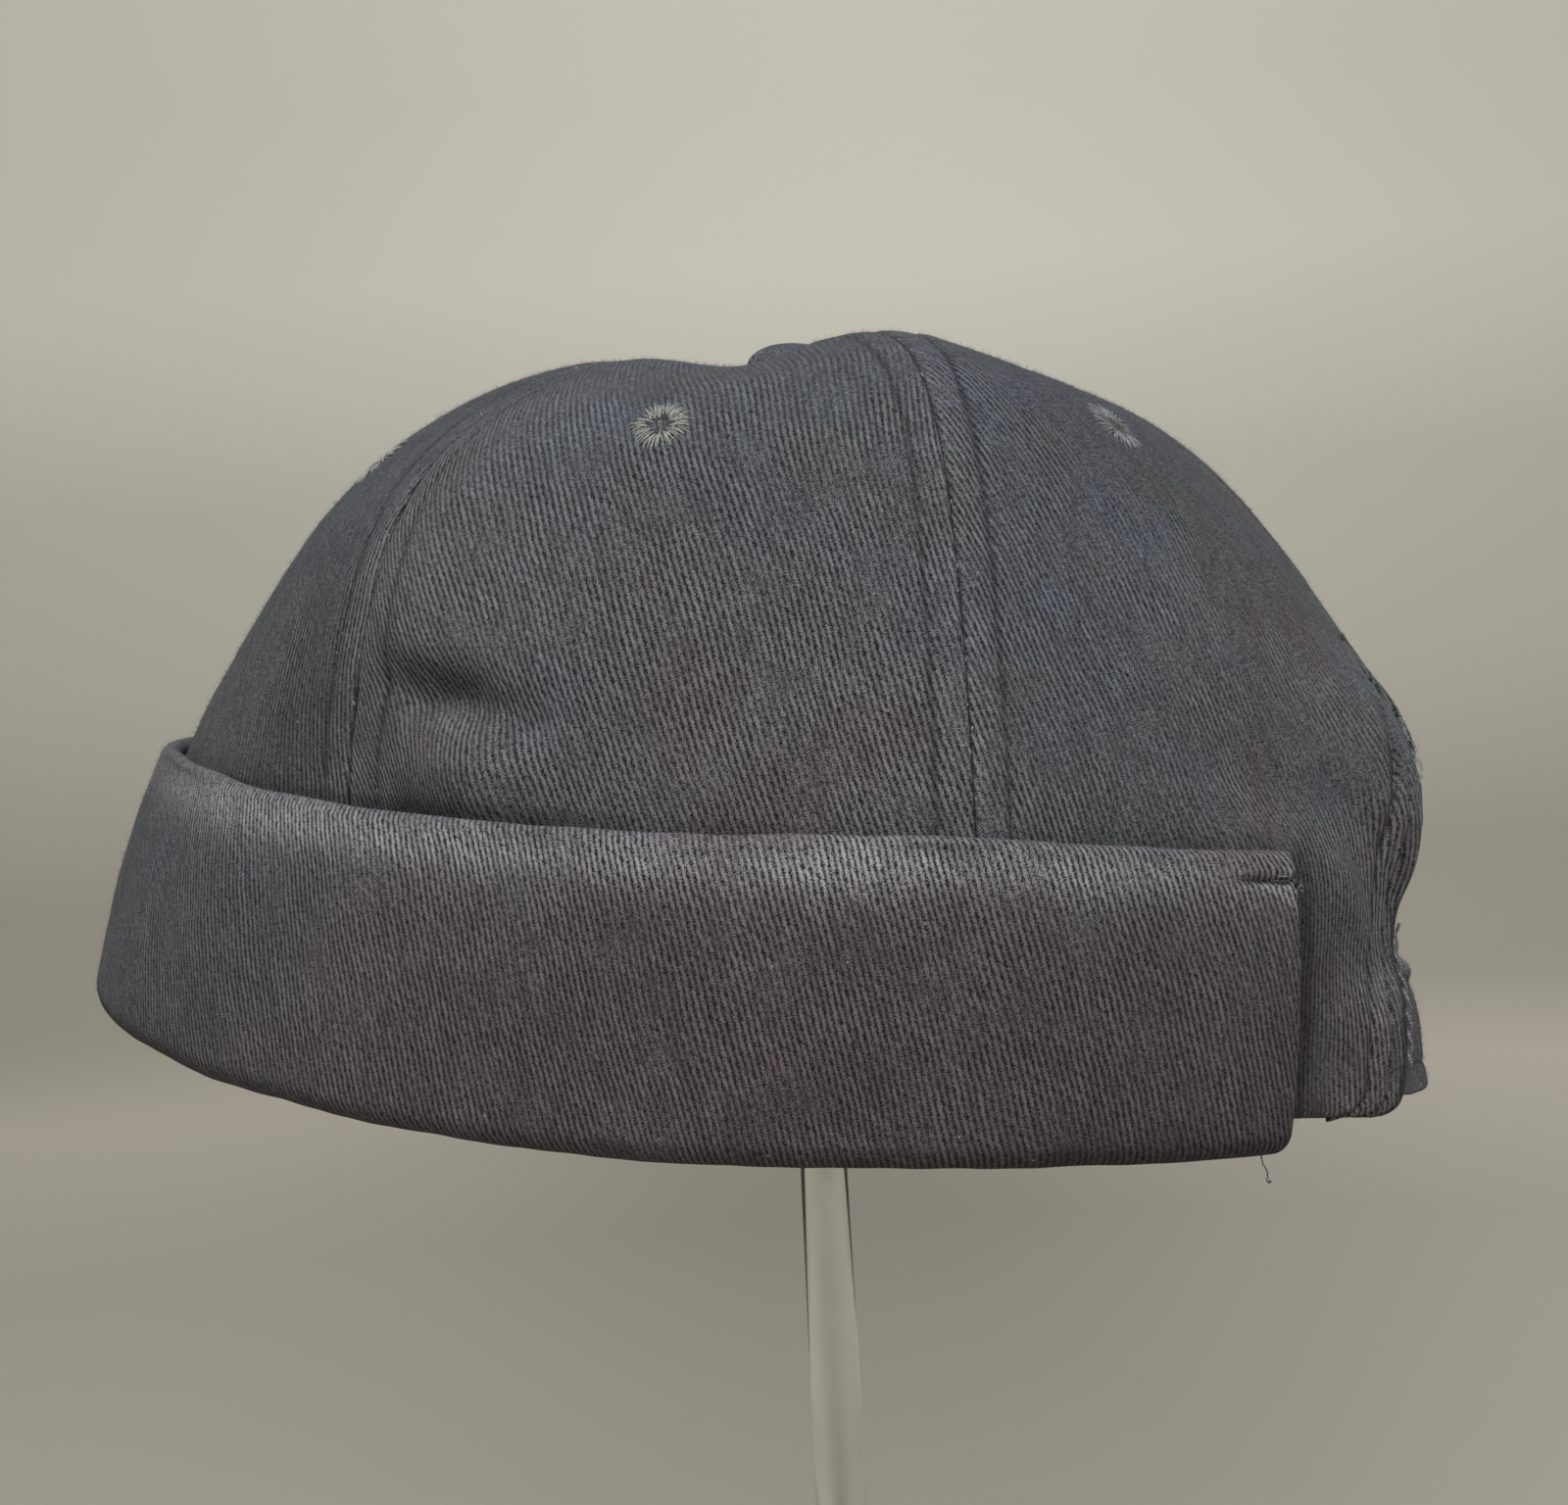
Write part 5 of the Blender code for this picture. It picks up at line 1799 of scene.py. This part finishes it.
@dataclass
class Button:
    """The domed button at the top, covered with a disc of the crown's cloth."""

    finishes: Finishes
    radius: float = 7.4
    height: float = 5.2
    rim: float = 1.3
    gap: float = 1.0
    sides: int = 96

    def build(self) -> None:
        """Build the button."""
        body = turned([(0.0, 0.0), (self.radius * 0.6, 0.0), (self.radius - 1.2, 0.0),
                       (self.radius - 0.4, 0.35), (self.radius, self.rim)]
                      + bow(self.radius, self.height - self.rim, 0.0, self.rim, 6.0, 90.0, 22), self.sides)
        for vert in body.verts:
            out = math.hypot(vert.co.x, vert.co.y) / self.radius
            gather = 0.10 * math.sin(11.0 * math.atan2(vert.co.y, vert.co.x) + 1.3) * out ** 4
            vert.co.z += gather + 0.22 * noise.noise(vert.co * 0.25) * out if vert.co.z > 0.2 else 0.0
        layer = body.loops.layers.uv.new(WEAVE)
        for face in body.faces:
            for loop in face.loops:
                loop[layer].uv = (loop.vert.co.x * MM + 1.3, loop.vert.co.y * MM + 0.4)
        mesh = mesh_of(body, "covered_top_button")
        spots = spots_of(mesh)
        edge = np.hypot(spots[:, 0], spots[:, 1]) / self.radius
        # painted shade under the dome: its flat base is darker
        settle(mesh, CAP.to_row(spots + (0.0, 0.0, CAP.top + self.gap)), {
            RUBBED: 0.25 * hump(edge, 0.88, 0.1), PAINTED_SHADE: 0.5 * (spots[:, 2] < 0.5),
            FELTED: 0.75 + 0.0 * edge})
        show(mesh, self.finishes.crown, ["top_button"])


@dataclass
class Eyelets:
    """The six embroidered vent eyelets: ragged rays of satin stitch on a dark pad round a hole that a dark
    plug closes; pad and plug are painted shade.
    """

    finishes: Finishes
    places: tuple[tuple[str, float, float], ...] = (    # panel, angle and way up
        ("front", 32.0, 0.59), ("side", 88.7, 0.5855), ("back", 150.0, 0.61))
    radius: float = 4.3
    hole: float = 0.75
    rays: int = 78
    stretch: tuple[float, float] = (1.05, 1.24)     # across and up the panel
    lift: float = 1.0

    def frame_at(self, angle: float, up: float) -> Matrix:
        """A frame that stands on the crown.

        Args:
            angle: Its angle round the crown.
            up: Its way up.

        Returns:
            A matrix in metres whose Z is the crown's outward direction there.
        """
        spot, above = (Vector(CAP.to_row(CAP.surface(np.array([angle]), np.array([up]), lift))[0])
                       for lift in (self.lift, self.lift + 10.0))
        turn = (above - spot).normalized().to_track_quat("Z", "Y").to_matrix().to_4x4()
        return Matrix.Translation(spot) @ turn @ Matrix.Diagonal((*self.stretch, 1.0, 1.0))

    def build(self) -> None:
        """Build all six eyelets."""
        draw = random.Random(19)
        hole, radius = self.hole, self.radius
        pad = [(hole * 0.4, -0.25), (radius * 0.55, 0.05), (radius * 0.86, -0.45), (radius * 0.6, 0.2),
               (hole, 0.18), (hole * 0.4, -0.25)]
        plug = [(0.0, -0.5), (hole * 1.1, -0.5), (hole * 1.1, 0.0), (0.0, 0.06)]
        for side in Side:
            for panel, angle, up in self.places:
                here = self.frame_at(angle * side.value, up)
                name = f"{panel}_{side.name.lower()}"
                rays = Sewing(f"eyelet_rays_{name}", self.finishes.faded if panel == "back"
                              else self.finishes.eyelet, Slot.EYELET, detail=2)
                axis = here.to_3x3()
                for i in range(self.rays):
                    turn = TAU * (i + draw.uniform(-0.3, 0.3)) / self.rays
                    reach, inner = radius * draw.uniform(0.84, 1.14), hole * draw.uniform(0.2, 1.5)
                    way = Vector((math.cos(turn), math.sin(turn), 0.0)) * (reach + inner) / 2
                    middle = here @ ((way + Vector((0, 0, draw.uniform(0.12, 0.36)))) * MM)
                    skew = turn + draw.gauss(0.0, 0.11)
                    rays.add(middle, axis @ Vector((math.cos(skew), math.sin(skew), 0.0)),
                             axis @ Vector((0, 0, 1)), reach - inner, draw.uniform(0.11, 0.18), 0.16,
                             draw.uniform(0.3, 0.5))
                rays.done()
                # the dark pad is painted shade between the rays, the dark plug painted shade in the hole
                for part, profile, sides, finish, nodes in (
                        ("pad", pad, 40, self.finishes.core, [f"eyelet_{name}"]),
                        ("hole", plug, 24, self.finishes.shadow, [])):
                    show(mesh_of(turned(profile, sides), f"eyelet_{part}_{name}", here @ MILLIMETRES),
                         finish, nodes)


# ------------------------------------------------------------------ loose threads

@dataclass
class LooseEnds:
    """The bar tacks on the cuff's back corners and the loose threads near them."""

    finishes: Finishes
    cuff: Cuff

    def build(self) -> None:
        """Build the tacks, dark marks of painted shade in the notches beside them, pale fibres and the thread
        that hangs down.
        """
        draw = random.Random(3)
        tack, notch, ends, pale = (Sewing(name, finish, Slot.CUFF) for name, finish in (
            ("cuff_bar_tacks", self.finishes.sewing), ("cuff_tack_notch_shade", self.finishes.shadow),
            ("cuff_loose_threads", self.finishes.sewing), ("cuff_pale_threads", self.finishes.lint)))
        for side in (1, -1):
            for i in range(5):
                if i < 2:
                    pale.add(*self.cuff.point(side * (146.5 - 0.2 * i), 1.7 + 0.18 * i),
                             2.4 + draw.uniform(-0.6, 0.6), 0.14, bend=0.1)
                tack.add(*self.cuff.point(side * (146.3 - 0.1 * i), 1.95 + 0.11 * i, -0.3),
                         3.2 + draw.uniform(-0.5, 0.5), 0.26, bend=0.1)
            # the notches beside the tack: dark marks of painted shade
            notch.add(*self.cuff.point(side * 146.2, 2.75, -0.35), 3.8, 0.6)
            notch.add(*self.cuff.point(side * 147.6, 3.0), 1.5, 1.1, 0.6)
            for i in range(3):
                spot, along, out = self.cuff.point(side * 147.75, 3.4 + 0.3 * i, 0.2)
                pale.curl(spot, out, along + Vector((0, 0, draw.uniform(-1, 1))), 0.45, 2.0, 0.11)
            # the bar tack's thread end, which hangs down below the bottom fold and ends in a knot
            spot, along, out = self.cuff.point(side * 146.3, 44.6, -1.4)
            for i in range(9):
                way = Vector((0.0, 0.24 + 0.05 * math.sin(1.3 * i), -1.0))
                ends.add(spot + way * (i * 0.56 + 0.2) * MM, way + along * 0.1 * (i % 2), out, 0.9, 0.2)
            ends.add(spot + Vector((0.0, 0.26, -1.0)) * 4.9 * MM, along, out, 0.55, 0.5)
        for piece in (tack, notch, ends, pale):
            piece.done()


# ------------------------------------------------------------------ stand

@dataclass
class DisplayStand:
    """A clear foot disc, a tapered stem and the small pad under the crown."""

    finishes: Finishes
    foot_radius: float = 70.0
    foot_thickness: float = 6.0
    edge: float = 1.5
    axis: float = 9.3
    stem_foot: float = 4.9
    stem_head: float = 2.7
    pad_radius: float = 15.0
    pad_thickness: float = 4.0
    pad_edge: float = 1.4
    pad_top: float = 92.6
    clearance: float = 0.3

    @staticmethod
    def rounded(radius: float, bottom: float, top: float, edge: float) -> list[tuple[float, float]]:
        """The profile of a disc with round edges."""
        return [(0.0, bottom), *bow(edge, edge, radius - edge, bottom + edge, -90.0, 0.0, 7),
                *bow(edge, edge, radius - edge, top - edge, 0.0, 90.0, 7), (0.0, top)]

    def build(self) -> None:
        """Build the stand."""
        lean = math.radians(CAP.nose_up)
        where = Matrix.Translation((0.0, CAP.setback + self.axis, 0.0))
        pad_y = (self.axis - self.pad_top * math.sin(lean)) / math.cos(lean)
        in_cap = (Matrix.Translation((0.0, CAP.setback, CAP.hem_height)) @ Matrix.Rotation(-lean, 4, "X")
                  @ Matrix.Translation((0.0, pad_y, self.pad_top)))
        head = (CAP.hem_height + (self.pad_top - self.pad_thickness) * math.cos(lean)
                - pad_y * math.sin(lean) - 2 * self.clearance)
        start = self.foot_thickness + self.clearance
        for name, node, place, sides, profile in (
                ("stand_foot_disc", "stand_base", where, 96,
                 self.rounded(self.foot_radius, 0.0, self.foot_thickness, self.edge)),
                ("stand_crown_pad", "stand_pad", in_cap, 96,
                 self.rounded(self.pad_radius, -self.pad_thickness, 0.0, self.pad_edge)),
                ("stand_tapered_stem", "stand_stem", where, 64,
                 [(0.0, start), (self.stem_foot, start), (self.stem_head, head), (0.0, head)])):
            show(mesh_of(turned(profile, sides), name, MILLIMETRES @ place), self.finishes.acrylic,
                 [node])


# ------------------------------------------------------------------ studio

@dataclass
class Studio:
    """A pale floor that turns up into a round wall, with painted light and shade on it, soft light and the
    camera.
    """

    floor_radius: float = 1.5
    sweep: float = 0.7
    wall_top: float = 1.7
    azimuth: float = 104.0
    elevation: float = 3.0
    roll: float = -3.1
    distance: float = 0.45
    focal: float = 3049.0           # in pixels of a picture 1600 wide
    picture_width: float = 1600.0
    sensor: float = 36.0
    target: tuple[float, float, float] = (0.0, 0.00587, 0.24)
    lamps: tuple[tuple[str, tuple[float, float, float], float, float, str], ...] = (
        ("overhead_softbox", (0.6, 0.2, 1.6), 1.0, 20.0, "#ffffff"),
        ("camera_side_softbox", (1.3, 0.15, 0.85), 0.45, 5.5, "#ffffff"),
        ("back_softbox", (-0.9, 0.7, 1.3), 0.8, 2.5, "#f4f6ff"))
    sky: str = "#eceef0"
    sky_strength: float = 0.8

    @staticmethod
    def stand_up(name: str, data: bpy.types.ID) -> Piece:
        """Put a mesh, a lamp or a camera in the scene.

        Args:
            name: The object's name.
            data: What it holds.

        Returns:
            The object.
        """
        made = bpy.data.objects.new(name, data)
        bpy.context.scene.collection.objects.link(made)
        return made

    def build(self) -> None:
        """Build the floor, the lights, the sky and the camera."""
        wall = self.floor_radius + self.sweep
        body = turned([(0.0, 0.0), (self.floor_radius, 0.0), *bow(
            self.sweep, self.sweep, self.floor_radius, self.sweep, -90.0, 0.0, 19)[1:],
            (wall, self.wall_top)], 128)
        bmesh.ops.reverse_faces(body, faces=body.faces)
        mesh = mesh_of(body, "studio_floor")
        mesh.shade_smooth()
        mesh.materials.append(PaintedBoard().build())
        self.stand_up("studio_floor", mesh)
        for name, spot, size, watts, colour in self.lamps:
            lamp = bpy.data.lights.new(name, "AREA")
            lamp.shape = "DISK"
            lamp.size, lamp.energy, lamp.color = size, watts, linear(colour)[:3]
            holder = self.stand_up(name, lamp)
            holder.location = spot
            holder.visible_camera = False
            holder.rotation_euler = (Vector(self.target) - Vector(spot)).to_track_quat("-Z", "Y").to_euler()
        world = bpy.data.worlds.new("studio_sky")
        world.use_nodes = True
        background = world.node_tree.nodes["Background"].inputs
        background["Color"].default_value = linear(self.sky)
        background["Strength"].default_value = self.sky_strength
        bpy.context.scene.world = world
        bpy.context.scene.view_settings.view_transform = "Standard"
        self.camera()

    def camera(self) -> None:
        """Set the camera at the photograph's viewing angle."""
        turn, rise, roll = (math.radians(x) for x in (self.azimuth, self.elevation, self.roll))
        back = Vector((math.sin(turn) * math.cos(rise), -math.cos(turn) * math.cos(rise), math.sin(rise)))
        right = Vector((0.0, 0.0, 1.0)).cross(back).normalized()
        above = back.cross(right)
        lens = bpy.data.cameras.new("photo_camera")
        lens.sensor_width = self.sensor
        lens.lens = self.focal / self.picture_width * self.sensor
        lens.clip_start, lens.clip_end = 0.02, 20.0
        place = Matrix((right * math.cos(roll) + above * math.sin(roll),
                        above * math.cos(roll) - right * math.sin(roll), back)).transposed().to_4x4()
        place.translation = Vector(self.target) + back * self.distance
        camera = self.stand_up("photo_camera", lens)
        camera.matrix_world = place
        bpy.context.scene.camera = camera


# ------------------------------------------------------------------ the whole thing

def main() -> None:
    """Build every piece of the cap and its stand, then the studio."""
    logging.basicConfig(level=logging.INFO, format="%(name)s: %(message)s")
    finishes = Finishes()
    fuzz = Fuzz(finishes.fuzz)
    crown = Crown(finishes, fuzz)
    cuff = Cuff(finishes, fuzz)
    strap = Band("adjusting_strap", "back_strap", finishes.strap, fuzz, (
        (152.0, -2.4, 0.0), (160.0, -3.0, 0.0), (167.0, -3.4, 0.0), (174.0, -3.7, 0.1), (180.0, -3.7, -0.8),
        (186.0, -1.4, -2.5), (191.0, 1.9, -3.4), (198.0, 1.9, -3.0), (208.0, 1.9, -2.4)),
        0.007, 0.109, offset=1100.0, lean=2.2, hollow=0.8, lip=0.8)
    tab = Band("strap_end_tab", "strap_tab", finishes.strap, fuzz, (
        (181.0, -6.4, -1.5), (186.0, -4.4, -1.5), (191.0, -3.0, -1.5), (200.0, -2.8, -1.2),
        (208.0, -2.3, -0.8)), 0.008, 0.106, stations=60, offset=1300.0)
    for part in (crown, Topstitching(finishes), cuff, Opening(finishes, crown), strap, tab, Button(finishes),
                 Eyelets(finishes), LooseEnds(finishes, cuff)):
        part.build()
    fuzz.done()
    DisplayStand(finishes).build()
    Studio().build()
    left = [name for name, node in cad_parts.items() if not node.hide_render]
    LOG.info("nodes still shown as packed: %s", left or "none")


if __name__ == "__main__":
    main()
